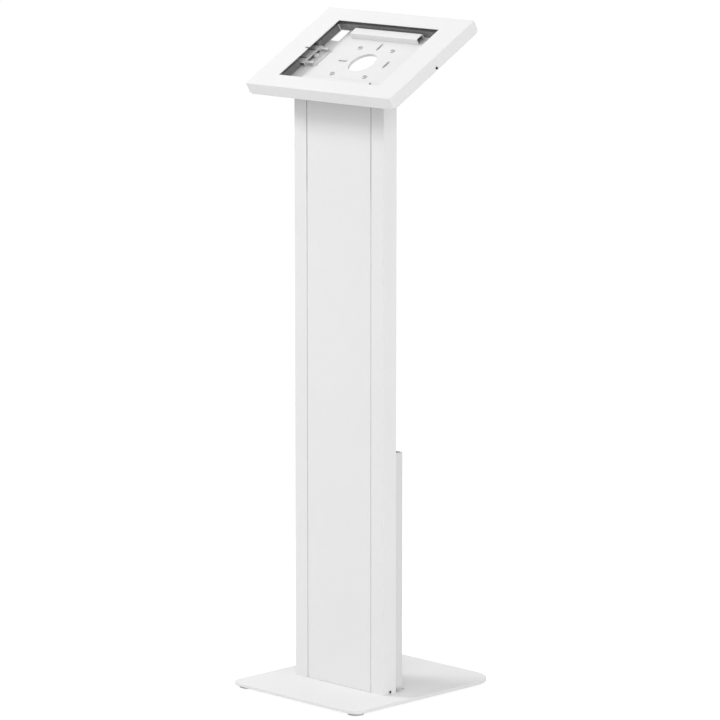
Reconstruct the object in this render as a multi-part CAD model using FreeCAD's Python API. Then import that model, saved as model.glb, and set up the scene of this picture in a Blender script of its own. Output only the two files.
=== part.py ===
import FreeCAD, Part
import math
import os

# Free-standing tablet floor stand, in millimetres.
# +X is right as seen from the front, +Y is to the back, +Z is up.
# The origin lies on the floor under the middle of the base plate.
# Pieces of the head are drawn on its face first: X across, Y up the slope from
# the front edge of the face, Z along its normal with the face itself at zero.

Vector = FreeCAD.Vector

# Base plate and feet
BASE_WIDTH = 300.0
BASE_DEPTH = 340.0
BASE_THICKNESS = 5.5
BASE_FRONT_RADIUS = 20.0
BASE_REAR_RADIUS = 50.0
BASE_EDGE_BREAK = 0.6
FOOT_DIAMETER = 28.0
FOOT_HEIGHT = 5.0
FOOT_BEVEL = 1.0
FOOT_MARGIN = 1.2
ANCHOR_HOLE = 8.0
ANCHOR_SPACING = 186.0
ANCHOR_SETBACK = 166.0

# Column: a folded C-shaped shell, open at the front, the lips of its mouth folded back once more
COLUMN_WIDTH = 209.0
COLUMN_DEPTH = 30.0
COLUMN_SETBACK = 110.0
COLUMN_SHEET = 2.0
COLUMN_BEND = 1.0
COLUMN_LIP = 29.0
COLUMN_RETURN = 10.0
COLUMN_RETURN_GAP = 1.0
FOLD_INSIDE = 0.5

# Panel that closes the front of the column
PANEL_SHEET = 1.5
PANEL_GROOVE = 1.6
PANEL_RETURN = 8.0
PANEL_BEND = 1.5
PANEL_FLOOR_GAP = 0.3
PANEL_RETURN_SETBACK = 14.0
INFILL_HEIGHT = 24.0
INFILL_GAP = 1.0
INFILL_OVERLAP = 9.0

# Bridges inside the column, with the magnets that hold the panel
BRIDGE_LOWEST = 210.0
BRIDGE_STEP = 290.0
BRIDGE_HEIGHT = 40.0
BRIDGE_SHEET = 1.5
BRIDGE_SIDE_GAP = 2.0
BRIDGE_FLANGE = 12.0
MAGNET_WIDTH = 20.0
MAGNET_HEIGHT = 10.0
MAGNET_THICKNESS = 3.0
MAGNET_SPACING = 96.0

# Foot plate that ties the column to the base plate
SEAT_THICKNESS = 8.0
SEAT_CLEARANCE = 0.2
SEAT_BOLT_PLACES = (-84.0, -32.0, 32.0, 84.0)
SEAT_BOLT = 6.0
SEAT_BOLT_HEAD = 11.3
SIDE_SCREW = 4.0
SIDE_SCREW_HEAD = 7.0
SIDE_SCREW_HEAD_HEIGHT = 2.2
SIDE_SCREW_LENGTH = 10.0
SIDE_SCREW_FLOOR_GAP = 0.3

# Cable windows in the back of the column
CABLE_WINDOW_WIDTH = 80.0
CABLE_WINDOW_HEIGHT = 30.0
CABLE_WINDOW_UPPER = 895.0
CABLE_WINDOW_LOWER = 70.0
GROMMET_LIP = 3.0
GROMMET_FLANGE = 1.5
GROMMET_WALL = 2.0

# Cable cover on the back of the column
COVER_INSET = 3.0
COVER_DEPTH = 18.0
COVER_HEIGHT = 397.0
COVER_FLOOR_GAP = 8.0
COVER_SHEET = 1.5
COVER_BEND = 1.5
COVER_SCREW = 4.0
COVER_SCREW_LENGTH = 12.0
COVER_SCREW_EDGE = 20.0
COVER_SCREW_END = 24.0
STANDOFF_WIDTH = 7.0

# Head: where its face lies
HEAD_WIDTH = 337.0
HEAD_LENGTH = 226.0
HEAD_HEIGHT = 21.5
HEAD_TILT = 30.0
HEAD_OVERHANG = 51.0
HEAD_FRONT_LEVEL = 1014.0

# Front frame of the head
FRAME_SHEET = 1.5
FRAME_CORNER = 2.5
FRAME_BEND = 1.0
FRAME_CORNER_CUT_RISE = 4.5
FRAME_CORNER_CUT_RUN = 7.0
WINDOW_WIDTH = 231.5
WINDOW_LENGTH = 161.0
WINDOW_OFFSET = 1.0
WINDOW_UNDERCUT = 1.0
TABLET_OFFSET = 2.0
CAMERA_NOTCH_WIDTH = 3.6
CAMERA_NOTCH_LENGTH = 9.0

# Tray of the head
TRAY_SHEET = 1.5
TRAY_BEND = 2.0
TRAY_LIP = 9.0
TRAY_LIP_RELIEF = 8.0
TRAY_CLEARANCE = 0.4
CABLE_HOLE = 50.0
VESA_PITCH = 75.0
VESA_SCREW = 4.0
VESA_SCREW_HEAD = 8.0
VESA_SCREW_HEAD_HEIGHT = 2.2
CUTOUT_WIDTH = 21.0
CUTOUT_LENGTH = 32.0
CORNER_POST = 2.5

# Loops pressed up from the floor of the tray, for cable ties
LOOP_LENGTH = 20.0
LOOP_WIDTH = 3.0
LOOP_SLIT = 0.4
LOOP_RISE = 2.0
LOOP_RAMP = 3.0
LOOP_REAR_OFFSET = 45.0
LOOP_RIGHT_OFFSET = 53.0
LOOP_LEFT_OFFSET = 45.0

# Tablet that the head holds, and the foam that it lies in
TABLET_WIDTH = 247.6
TABLET_LENGTH = 178.5
TABLET_THICKNESS = 6.1
TABLET_CLEARANCE = 0.7
TABLET_PLAY = 0.4
FOAM_SIDE_SETBACK = 4.8
FOAM_END_SETBACK = 2.2
FOAM_PLAY = 0.5
FOAM_TOP_GAP = 0.3
FOAM_SEAM = 0.4
FOAM_BRACKET_GAP = 2.0

# Rails across the tray
RAIL_LENGTH = 154.0
RAIL_WIDTH = 16.5
RAIL_HEIGHT = 10.5
RAIL_SHEET = 1.2
RAIL_BEND = 1.5
RAIL_OFFSET = 70.0

# Side brackets that take the lock screws of the frame
BRACKET_SHEET = 1.5
BRACKET_BEND = 2.0
BRACKET_LENGTH = 48.0
BRACKET_HEIGHT = 7.0
BRACKET_LEFT_PAD_END = 92.0
BRACKET_RIGHT_PAD_END = 98.0
BRACKET_RISER = 112.0
BRACKET_ARM_SPREAD = 43.4
BRACKET_ARM_FLANGE = 4.2
BRACKET_WINDOW_END = 1.0
BRACKET_SLOT_WIDTH = 3.0
BRACKET_SLOT_LENGTH = 22.0
BRACKET_SLOT_OFFSET = 12.5
BRACKET_SLOT_MARGIN = 5.0
BRACKET_SCREW_PLACE = 105.0
LOCK_SCREW = 3.0
LOCK_SCREW_HEAD = 4.4
LOCK_SCREW_HEAD_HEIGHT = 1.6
LOCK_SCREW_OFFSET = 0.5
LOCK_SCREW_DEPTH = 17.4
LOCK_SCREW_LENGTH = 8.0
LOCK_SLOT_CLEARANCE = 0.2
LOCK_HEAD_GAP = 0.1

# Head bracket: a tilted plate on a spigot that goes down into the column
PLATE_WIDTH = 140.0
PLATE_FRONT = 50.0
PLATE_REAR = 164.0
PLATE_THICKNESS = 3.0
PLATE_CORNER = 8.0
SPIGOT_WIDTH = 130.0
SPIGOT_DEPTH = 24.0
SPIGOT_WALL = 3.0
SPIGOT_BOTTOM = 930.0
SPIGOT_SCREW = 6.0
SPIGOT_SCREW_HEAD = 10.5
SPIGOT_SCREW_HEAD_HEIGHT = 3.3
SPIGOT_SCREW_SPACING = 92.0
SPIGOT_SCREW_LEVEL = 972.0

# Clearances
HOLE_CLEARANCE = 0.2
THREAD_CLEARANCE = 0.05
RUNNING_GAP = 0.3
SOCKET_SHARE = 0.5
SOCKET_DEPTH_SHARE = 0.6
BUTTON_CROWN_SHARE = 0.7
BUTTON_SOCKET_EXTRA = 0.5
SUNK_SOCKET_EXTRA = 1.0
TIP_MARGIN = 1.0
PAST = 5.0

# Worked out from the sizes above
TILT_SINE = math.sin(math.radians(HEAD_TILT))
TILT_COSINE = math.cos(math.radians(HEAD_TILT))
BASE_UNDERSIDE = FOOT_HEIGHT
BASE_TOP = BASE_UNDERSIDE + BASE_THICKNESS
BASE_FRONT = -BASE_DEPTH / 2
COLUMN_FRONT = BASE_FRONT + COLUMN_SETBACK
COLUMN_BACK = COLUMN_FRONT + COLUMN_DEPTH
COLUMN_INNER_BACK = COLUMN_BACK - COLUMN_SHEET
COLUMN_INNER_FRONT = COLUMN_FRONT + COLUMN_SHEET
COLUMN_MIDDLE = COLUMN_FRONT + COLUMN_DEPTH / 2
LIP_EDGE = COLUMN_WIDTH / 2 - COLUMN_LIP
PANEL_HALF = LIP_EDGE - PANEL_GROOVE
PANEL_INNER = COLUMN_FRONT + PANEL_SHEET
BRIDGE_HALF = PANEL_HALF - PANEL_SHEET - BRIDGE_SIDE_GAP
BRIDGE_FRONT = PANEL_INNER + RUNNING_GAP + MAGNET_THICKNESS
BRIDGE_LEVELS = {
    "lower": BRIDGE_LOWEST,
    "middle": BRIDGE_LOWEST + BRIDGE_STEP,
    "upper": BRIDGE_LOWEST + 2 * BRIDGE_STEP,
}
CABLE_WINDOW_LEVELS = {"upper": CABLE_WINDOW_UPPER, "lower": CABLE_WINDOW_LOWER}
COVER_BACK = COLUMN_BACK + COVER_DEPTH
COVER_BOTTOM = BASE_TOP + COVER_FLOOR_GAP
COVER_TOP = COVER_BOTTOM + COVER_HEIGHT
HEAD_FRONT = COLUMN_FRONT - HEAD_OVERHANG
TRAY_UNDERSIDE = -HEAD_HEIGHT
TRAY_FLOOR = TRAY_UNDERSIDE + TRAY_SHEET
TRAY_EDGE = FRAME_SHEET + TRAY_CLEARANCE
TRAY_HALF = HEAD_WIDTH / 2 - TRAY_EDGE
TABLET_CENTRE = HEAD_LENGTH / 2 - TABLET_OFFSET
FOAM_TOP = -FRAME_SHEET - FOAM_TOP_GAP
TABLET_BACK = -FRAME_SHEET - TABLET_THICKNESS - TABLET_PLAY
FOAM_BORE_HALF_WIDTH = WINDOW_WIDTH / 2 + FOAM_SIDE_SETBACK
FOAM_BORE_HALF_LENGTH = WINDOW_LENGTH / 2 + FOAM_END_SETBACK
POCKET_HALF_WIDTH = TABLET_WIDTH / 2 + TABLET_CLEARANCE
POCKET_HALF_LENGTH = TABLET_LENGTH / 2 + TABLET_CLEARANCE
FOAM_HALF_WIDTH = TRAY_HALF - FOAM_PLAY
LIP_REACH = HEAD_LENGTH / 2 - TRAY_EDGE - TRAY_SHEET
LOCK_PLACE = HEAD_LENGTH / 2 + LOCK_SCREW_OFFSET
PLATE_UNDERSIDE = TRAY_UNDERSIDE - PLATE_THICKNESS
COLUMN_TOP = HEAD_FRONT_LEVEL + (HEAD_OVERHANG * TILT_SINE + PLATE_UNDERSIDE) / TILT_COSINE
INFILL_BOTTOM = COLUMN_TOP - INFILL_HEIGHT
PANEL_TOP = INFILL_BOTTOM - INFILL_GAP
SIDE_SCREW_LEVEL = BASE_TOP + SIDE_SCREW_FLOOR_GAP + SIDE_SCREW_HEAD / 2


# Helpers for drawing

def block(x0, x1, y0, y1, z0, z1):
    return Part.makeBox(x1 - x0, y1 - y0, z1 - z0, Vector(x0, y0, z0))


def rounded_outline(corners):
    """Closed outline through (point, radius) corners, each rounded where its radius isn't zero."""
    stretches = []
    count = len(corners)
    for index in range(count):
        point, radius = corners[index]
        before = (corners[index - 1][0] - point).normalize()
        after = (corners[(index + 1) % count][0] - point).normalize()
        half_angle = before.getAngle(after) / 2
        reach = radius / math.tan(half_angle)
        start = point + before * reach
        end = point + after * reach
        inward = (before + after).normalize()
        middle = point + inward * (radius / math.sin(half_angle) - radius)
        stretches.append((start, middle, end, radius))
    edges = []
    for index in range(count):
        start, middle, end, radius = stretches[index]
        if radius > 0:
            edges.append(Part.Arc(start, middle, end).toShape())
        following = stretches[(index + 1) % count][0]
        if (following - end).Length > 1e-6:
            edges.append(Part.LineSegment(end, following).toShape())
    return Part.Wire(edges)


def prism_along_z(corners, z0, z1):
    outline = rounded_outline([(Vector(x, y, z0), radius) for x, y, radius in corners])
    return Part.Face(outline).extrude(Vector(0, 0, z1 - z0))


def prism_along_x(corners, x0, x1):
    outline = rounded_outline([(Vector(x0, y, z), radius) for y, z, radius in corners])
    return Part.Face(outline).extrude(Vector(x1 - x0, 0, 0))


def prism_along_y(corners, y0, y1):
    outline = rounded_outline([(Vector(x, y0, z), radius) for x, z, radius in corners])
    return Part.Face(outline).extrude(Vector(0, y1 - y0, 0))


def rectangle(x0, x1, y0, y1, front_radius, rear_radius):
    return [
        (x0, y0, front_radius),
        (x1, y0, front_radius),
        (x1, y1, rear_radius),
        (x0, y1, rear_radius),
    ]


def rod(diameter, start, end):
    axis = end - start
    return Part.makeCylinder(diameter / 2, axis.Length, start, axis)


def stadium_along_y(width, height, level, y0, y1):
    """Upright slot shape with round ends, standing across the column and running from y0 to y1."""
    radius = height / 2
    return prism_along_y(rectangle(-width / 2, width / 2, level - radius, level + radius, radius, radius),
                         y0, y1)


def hexagon_bar(width, length, start, direction):
    """Hexagonal bar of the given width across flats, from start along direction."""
    radius = width / math.sqrt(3)
    turned = FreeCAD.Rotation(Vector(0, 0, 1), direction)
    corners = []
    for step in range(7):
        angle = math.radians(60 * step)
        corner = Vector(radius * math.cos(angle), radius * math.sin(angle), 0)
        corners.append(start + turned.multVec(corner))
    return Part.Face(Part.makePolygon(corners)).extrude(direction * length)


def button_screw(shank, length, head, head_height, seat, direction):
    """Button-headed screw. Its head's flat side lies on seat, and its shank runs along direction."""
    radius = head / 2
    turned = FreeCAD.Placement(seat, FreeCAD.Rotation(Vector(0, 0, 1), direction))
    socket_start = Vector(0, 0, -head_height)
    button = Part.makeCone(radius * BUTTON_CROWN_SHARE, radius, head_height, socket_start)
    socket = hexagon_bar(shank * SOCKET_SHARE + BUTTON_SOCKET_EXTRA, head_height * SOCKET_DEPTH_SHARE,
                         socket_start, Vector(0, 0, 1))
    screw = button.cut(socket).fuse(Part.makeCylinder(shank / 2, length))
    screw.Placement = turned
    return screw


def tilted(shape):
    """Moves a piece drawn on the face of the head to where the head stands."""
    moved = shape.copy()
    moved.rotate(Vector(0, 0, 0), Vector(1, 0, 0), HEAD_TILT)
    moved.translate(Vector(0, HEAD_FRONT, HEAD_FRONT_LEVEL))
    return moved


def above_head_plane(level):
    """All the space on the upper side of a plane parallel to the face of the head."""
    reach = 4 * HEAD_LENGTH
    return tilted(block(-reach, reach, -reach, reach, level, level + reach))


def mirrored(shape):
    return shape.mirror(Vector(0, 0, 0), Vector(1, 0, 0))


# Base

def foot_inset(corner_radius):
    """How far a foot's middle lies from both edges, so that it follows the corner's rounding."""
    return FOOT_DIAMETER / 2 + FOOT_MARGIN + corner_radius * (1 - math.sqrt(0.5))


def foot_places():
    front = foot_inset(BASE_FRONT_RADIUS)
    rear = foot_inset(BASE_REAR_RADIUS)
    return {
        "base_foot_front_left": (-BASE_WIDTH / 2 + front, BASE_FRONT + front),
        "base_foot_front_right": (BASE_WIDTH / 2 - front, BASE_FRONT + front),
        "base_foot_rear_left": (-BASE_WIDTH / 2 + rear, -BASE_FRONT - rear),
        "base_foot_rear_right": (BASE_WIDTH / 2 - rear, -BASE_FRONT - rear),
    }


def seat_bolt_head_height():
    """Depth of a 90-degree countersunk head."""
    return (SEAT_BOLT_HEAD - SEAT_BOLT) / 2


def base_plate():
    corners = rectangle(-BASE_WIDTH / 2, BASE_WIDTH / 2, BASE_FRONT, -BASE_FRONT,
                        BASE_FRONT_RADIUS, BASE_REAR_RADIUS)
    plate = prism_along_z(corners, BASE_UNDERSIDE, BASE_TOP)
    rim = [edge for edge in plate.Edges if edge.BoundBox.ZLength < 0.01]
    plate = plate.makeChamfer(BASE_EDGE_BREAK, rim)
    anchor_y = BASE_FRONT + ANCHOR_SETBACK
    for side in (-1, 1):
        x = side * ANCHOR_SPACING / 2
        plate = plate.cut(rod(ANCHOR_HOLE, Vector(x, anchor_y, BASE_UNDERSIDE - PAST),
                              Vector(x, anchor_y, BASE_TOP + PAST)))
    wide = SEAT_BOLT_HEAD + HOLE_CLEARANCE
    narrow = SEAT_BOLT + HOLE_CLEARANCE
    sink = Part.makeCone(wide / 2, narrow / 2, seat_bolt_head_height(), Vector(0, 0, 0))
    for x in SEAT_BOLT_PLACES:
        spot = Vector(x, COLUMN_MIDDLE, BASE_UNDERSIDE)
        plate = plate.cut(rod(narrow, spot - Vector(0, 0, PAST), spot + Vector(0, 0, BASE_THICKNESS + PAST)))
        plate = plate.cut(sink.translated(spot))
    return plate


def base_foot(x, y):
    """Rubber foot: a disc with a bevelled tread, glued under the plate."""
    radius = FOOT_DIAMETER / 2
    tread = Part.makeCone(radius - FOOT_BEVEL, radius, FOOT_BEVEL, Vector(x, y, 0))
    disc = Part.makeCylinder(radius, FOOT_HEIGHT - FOOT_BEVEL, Vector(x, y, FOOT_BEVEL))
    return disc.fuse(tread)


def seat_plate():
    """Flat bar inside the bottom of the column, bolted to the base plate."""
    half = COLUMN_WIDTH / 2 - COLUMN_SHEET - SEAT_CLEARANCE
    top = BASE_TOP + SEAT_THICKNESS
    bar = block(-half, half, COLUMN_INNER_FRONT + SEAT_CLEARANCE,
                COLUMN_INNER_BACK - SEAT_CLEARANCE, BASE_TOP, top)
    for x in SEAT_BOLT_PLACES:
        bar = bar.cut(rod(SEAT_BOLT + 2 * THREAD_CLEARANCE, Vector(x, COLUMN_MIDDLE, BASE_TOP - PAST),
                          Vector(x, COLUMN_MIDDLE, top + PAST)))
    for side in (-1, 1):
        end = side * (COLUMN_WIDTH / 2 - SIDE_SCREW_LENGTH - TIP_MARGIN)
        bar = bar.cut(rod(SIDE_SCREW + 2 * THREAD_CLEARANCE, Vector(end, COLUMN_MIDDLE, SIDE_SCREW_LEVEL),
                          Vector(side * COLUMN_WIDTH / 2, COLUMN_MIDDLE, SIDE_SCREW_LEVEL)))
    return bar


def seat_bolts():
    """Countersunk bolts that come up through the base plate."""
    head_height = seat_bolt_head_height()
    bolts = []
    for x in SEAT_BOLT_PLACES:
        spot = Vector(x, COLUMN_MIDDLE, BASE_UNDERSIDE)
        head = Part.makeCone(SEAT_BOLT_HEAD / 2, SEAT_BOLT / 2, head_height, spot)
        shank = rod(SEAT_BOLT, spot + Vector(0, 0, head_height),
                    spot + Vector(0, 0, BASE_THICKNESS + SEAT_THICKNESS))
        socket = hexagon_bar(SEAT_BOLT * SOCKET_SHARE + SUNK_SOCKET_EXTRA, head_height * SOCKET_DEPTH_SHARE,
                                spot, Vector(0, 0, 1))
        bolts.append(head.fuse(shank).cut(socket))
    return Part.makeCompound(bolts)


# Column

def column_shell():
    half = COLUMN_WIDTH / 2
    top = HEAD_FRONT_LEVEL + HEAD_LENGTH
    outside = prism_along_z(rectangle(-half, half, COLUMN_FRONT, COLUMN_BACK, COLUMN_BEND, COLUMN_BEND),
                            BASE_TOP, top)
    hollow = prism_along_z(rectangle(-half + COLUMN_SHEET, half - COLUMN_SHEET, COLUMN_INNER_FRONT,
                                     COLUMN_INNER_BACK, FOLD_INSIDE, FOLD_INSIDE),
                           BASE_TOP - PAST, top + PAST)
    mouth = block(-LIP_EDGE, LIP_EDGE, COLUMN_FRONT - PAST, COLUMN_INNER_FRONT + PAST,
                  BASE_TOP - PAST, top + PAST)
    shell = outside.cut(hollow).cut(mouth).cut(above_head_plane(PLATE_UNDERSIDE))
    for side in (-1, 1):
        x0, x1 = sorted((side * LIP_EDGE, side * (LIP_EDGE + COLUMN_SHEET)))
        shell = shell.fuse(block(x0, x1, COLUMN_FRONT + COLUMN_SHEET / 2, COLUMN_FRONT + COLUMN_RETURN,
                                 BASE_TOP + SEAT_THICKNESS + COLUMN_RETURN_GAP, PANEL_TOP))
    for level in CABLE_WINDOW_LEVELS.values():
        shell = shell.cut(stadium_along_y(CABLE_WINDOW_WIDTH, CABLE_WINDOW_HEIGHT, level,
                                          COLUMN_INNER_BACK - PAST, COLUMN_BACK + PAST))
    for spot in spigot_screw_places():
        shell = shell.cut(rod(SPIGOT_SCREW + HOLE_CLEARANCE, spot - Vector(0, COLUMN_SHEET + PAST, 0),
                              spot + Vector(0, PAST, 0)))
    shell = shell.cut(rod(SIDE_SCREW + HOLE_CLEARANCE, Vector(-half - PAST, COLUMN_MIDDLE, SIDE_SCREW_LEVEL),
                          Vector(half + PAST, COLUMN_MIDDLE, SIDE_SCREW_LEVEL)))
    return shell.removeSplitter()


def column_side_screws():
    """Screws low in the sides of the column, which tie it to the bar inside."""
    screws = []
    for side in (-1, 1):
        seat = Vector(side * COLUMN_WIDTH / 2, COLUMN_MIDDLE, SIDE_SCREW_LEVEL)
        screws.append(button_screw(SIDE_SCREW, SIDE_SCREW_LENGTH, SIDE_SCREW_HEAD, SIDE_SCREW_HEAD_HEIGHT, seat,
                                   Vector(-side, 0, 0)))
    return Part.makeCompound(screws)


def column_front_panel():
    """Flush panel between the lips of the shell, its long edges folded back."""
    bottom = BASE_TOP + PANEL_FLOOR_GAP
    returned = COLUMN_FRONT + PANEL_RETURN
    inner = PANEL_HALF - PANEL_SHEET
    corners = [
        (-PANEL_HALF, COLUMN_FRONT, PANEL_BEND),
        (PANEL_HALF, COLUMN_FRONT, PANEL_BEND),
        (PANEL_HALF, returned, 0),
        (inner, returned, 0),
        (inner, PANEL_INNER, 0),
        (-inner, PANEL_INNER, 0),
        (-inner, returned, 0),
        (-PANEL_HALF, returned, 0),
    ]
    panel = prism_along_z(corners, bottom, PANEL_TOP)
    for z0, z1 in ((bottom - PAST, bottom + PANEL_RETURN_SETBACK),
                   (PANEL_TOP - PANEL_RETURN_SETBACK, PANEL_TOP + PAST)):
        for x0, x1 in ((-PANEL_HALF - PAST, -inner + PANEL_SHEET), (inner - PANEL_SHEET, PANEL_HALF + PAST)):
            panel = panel.cut(block(x0, x1, PANEL_INNER, returned + PAST, z0, z1))
    return panel


def column_infill():
    """Fixed strip above the panel, welded behind the lips under the head."""
    top = HEAD_FRONT_LEVEL + HEAD_LENGTH
    front = block(-PANEL_HALF, PANEL_HALF, COLUMN_FRONT, COLUMN_INNER_FRONT, INFILL_BOTTOM, top)
    backing_half = LIP_EDGE + INFILL_OVERLAP
    backing = block(-backing_half, backing_half, COLUMN_INNER_FRONT, COLUMN_INNER_FRONT + PANEL_SHEET,
                    INFILL_BOTTOM, top)
    return front.fuse(backing).cut(above_head_plane(PLATE_UNDERSIDE)).removeSplitter()


def column_bridge(level):
    """Hat-shaped bracket welded to the back wall inside the column, at one level."""
    flange_end = BRIDGE_HALF + BRIDGE_FLANGE
    inner = BRIDGE_HALF - BRIDGE_SHEET
    web_back = BRIDGE_FRONT + BRIDGE_SHEET
    flange_front = COLUMN_INNER_BACK - BRIDGE_SHEET
    corners = [
        (-flange_end, COLUMN_INNER_BACK, 0),
        (-flange_end, flange_front, 0),
        (-BRIDGE_HALF, flange_front, FOLD_INSIDE),
        (-BRIDGE_HALF, BRIDGE_FRONT, BRIDGE_SHEET),
        (BRIDGE_HALF, BRIDGE_FRONT, BRIDGE_SHEET),
        (BRIDGE_HALF, flange_front, FOLD_INSIDE),
        (flange_end, flange_front, 0),
        (flange_end, COLUMN_INNER_BACK, 0),
        (inner, COLUMN_INNER_BACK, 0),
        (inner, web_back, 0),
        (-inner, web_back, 0),
        (-inner, COLUMN_INNER_BACK, 0),
    ]
    return prism_along_z(corners, level - BRIDGE_HEIGHT / 2, level + BRIDGE_HEIGHT / 2)


def panel_magnets():
    """Bar magnets on the bridges, just behind the panel."""
    magnets = []
    for level in BRIDGE_LEVELS.values():
        for side in (-1, 1):
            x = side * MAGNET_SPACING / 2
            magnets.append(block(x - MAGNET_WIDTH / 2, x + MAGNET_WIDTH / 2,
                                 BRIDGE_FRONT - MAGNET_THICKNESS, BRIDGE_FRONT,
                                 level - MAGNET_HEIGHT / 2, level + MAGNET_HEIGHT / 2))
    return Part.makeCompound(magnets)


def cable_grommet(level):
    """Rubber edging of a cable window: a flange on each face of the wall and a sleeve between."""
    outer_width = CABLE_WINDOW_WIDTH + 2 * GROMMET_LIP
    outer_height = CABLE_WINDOW_HEIGHT + 2 * GROMMET_LIP
    front = COLUMN_INNER_BACK - GROMMET_FLANGE
    back = COLUMN_BACK + GROMMET_FLANGE
    ring = stadium_along_y(CABLE_WINDOW_WIDTH - HOLE_CLEARANCE, CABLE_WINDOW_HEIGHT - HOLE_CLEARANCE,
                           level, front, back)
    ring = ring.fuse(stadium_along_y(outer_width, outer_height, level, front, COLUMN_INNER_BACK))
    ring = ring.fuse(stadium_along_y(outer_width, outer_height, level, COLUMN_BACK, back))
    bore = stadium_along_y(CABLE_WINDOW_WIDTH - 2 * GROMMET_WALL, CABLE_WINDOW_HEIGHT - 2 * GROMMET_WALL,
                           level, front - PAST, back + PAST)
    return ring.cut(bore).removeSplitter()


# Cable cover

def cover_screw_places():
    """Where the cover's screws stand, on the outside of its back wall."""
    reach = COLUMN_WIDTH / 2 - COVER_INSET - COVER_SCREW_EDGE
    levels = (COVER_BOTTOM + COVER_SCREW_END, COVER_TOP - COVER_SCREW_END)
    return [Vector(side * reach, COVER_BACK, level) for side in (-1, 1) for level in levels]


def rear_cover():
    """Channel on the back of the column, open at its top and bottom."""
    half = COLUMN_WIDTH / 2 - COVER_INSET
    start = COLUMN_BACK + RUNNING_GAP
    inner = half - COVER_SHEET
    inner_back = COVER_BACK - COVER_SHEET
    corners = [
        (-half, start, 0),
        (-inner, start, 0),
        (-inner, inner_back, FOLD_INSIDE),
        (inner, inner_back, FOLD_INSIDE),
        (inner, start, 0),
        (half, start, 0),
        (half, COVER_BACK, COVER_BEND),
        (-half, COVER_BACK, COVER_BEND),
    ]
    cover = prism_along_z(corners, COVER_BOTTOM, COVER_TOP)
    for spot in cover_screw_places():
        cover = cover.cut(rod(COVER_SCREW + HOLE_CLEARANCE, spot - Vector(0, COVER_SHEET + PAST, 0),
                              spot + Vector(0, PAST, 0)))
    return cover


def cover_standoffs():
    """Threaded hexagonal pillars on the back of the column for the cover's screws."""
    pillars = []
    end = COVER_BACK - COVER_SHEET - RUNNING_GAP
    backward = Vector(0, 1, 0)
    for spot in cover_screw_places():
        foot = Vector(spot.x, COLUMN_BACK, spot.z)
        tip = Vector(spot.x, end, spot.z)
        bore_end = Vector(spot.x, COVER_BACK - COVER_SCREW_LENGTH - TIP_MARGIN, spot.z)
        pillar = hexagon_bar(STANDOFF_WIDTH, end - COLUMN_BACK, foot, backward)
        pillars.append(pillar.cut(rod(COVER_SCREW + HOLE_CLEARANCE, bore_end, tip)))
    return Part.makeCompound(pillars)


def cover_screws():
    screws = []
    for spot in cover_screw_places():
        screws.append(button_screw(COVER_SCREW, COVER_SCREW_LENGTH, VESA_SCREW_HEAD,
                                   VESA_SCREW_HEAD_HEIGHT, spot, Vector(0, -1, 0)))
    return Part.makeCompound(screws)


# Head bracket

def spigot_screw_places():
    """Where the bracket's screws stand, on the outside of the column's back wall."""
    return [Vector(side * SPIGOT_SCREW_SPACING / 2, COLUMN_BACK, SPIGOT_SCREW_LEVEL) for side in (-1, 1)]


def head_bracket():
    half = PLATE_WIDTH / 2
    plate = prism_along_z(rectangle(-half, half, PLATE_FRONT, PLATE_REAR, PLATE_CORNER, PLATE_CORNER),
                          PLATE_UNDERSIDE, TRAY_UNDERSIDE)
    centre = Vector(0, TABLET_CENTRE, TRAY_UNDERSIDE + PAST)
    plate = plate.cut(rod(CABLE_HOLE, centre, centre - Vector(0, 0, PLATE_THICKNESS + 2 * PAST)))
    for spot in vesa_places():
        top = spot + Vector(0, 0, PAST)
        plate = plate.cut(rod(VESA_SCREW + 2 * THREAD_CLEARANCE, top,
                              top - Vector(0, 0, TRAY_SHEET + PLATE_THICKNESS + 2 * PAST)))
    front = COLUMN_INNER_BACK - SPIGOT_DEPTH
    top = HEAD_FRONT_LEVEL + HEAD_LENGTH
    tube = block(-SPIGOT_WIDTH / 2, SPIGOT_WIDTH / 2, front, COLUMN_INNER_BACK, SPIGOT_BOTTOM, top)
    hollow = block(-SPIGOT_WIDTH / 2 + SPIGOT_WALL, SPIGOT_WIDTH / 2 - SPIGOT_WALL, front + SPIGOT_WALL,
                   COLUMN_INNER_BACK - SPIGOT_WALL, SPIGOT_BOTTOM - PAST, top)
    upright = [edge for edge in tube.Edges if edge.BoundBox.ZLength > 1]
    tube = tube.makeFillet(COLUMN_BEND, upright).cut(hollow).cut(above_head_plane(PLATE_UNDERSIDE))
    for spot in spigot_screw_places():
        tube = tube.cut(rod(SPIGOT_SCREW + 2 * THREAD_CLEARANCE,
                            spot - Vector(0, COLUMN_SHEET + SPIGOT_WALL + PAST, 0), spot))
    return tilted(plate).fuse(tube)


def spigot_screws():
    screws = []
    for spot in spigot_screw_places():
        screws.append(button_screw(SPIGOT_SCREW, COLUMN_SHEET + SPIGOT_WALL, SPIGOT_SCREW_HEAD,
                                   SPIGOT_SCREW_HEAD_HEIGHT, spot, Vector(0, -1, 0)))
    return Part.makeCompound(screws)


# Head, drawn on its face

def vesa_places():
    """Centres of the four mounting screws, on the floor of the tray."""
    half = VESA_PITCH / 2
    return [Vector(x, TABLET_CENTRE + y, TRAY_FLOOR) for x in (-half, half) for y in (-half, half)]


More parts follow.
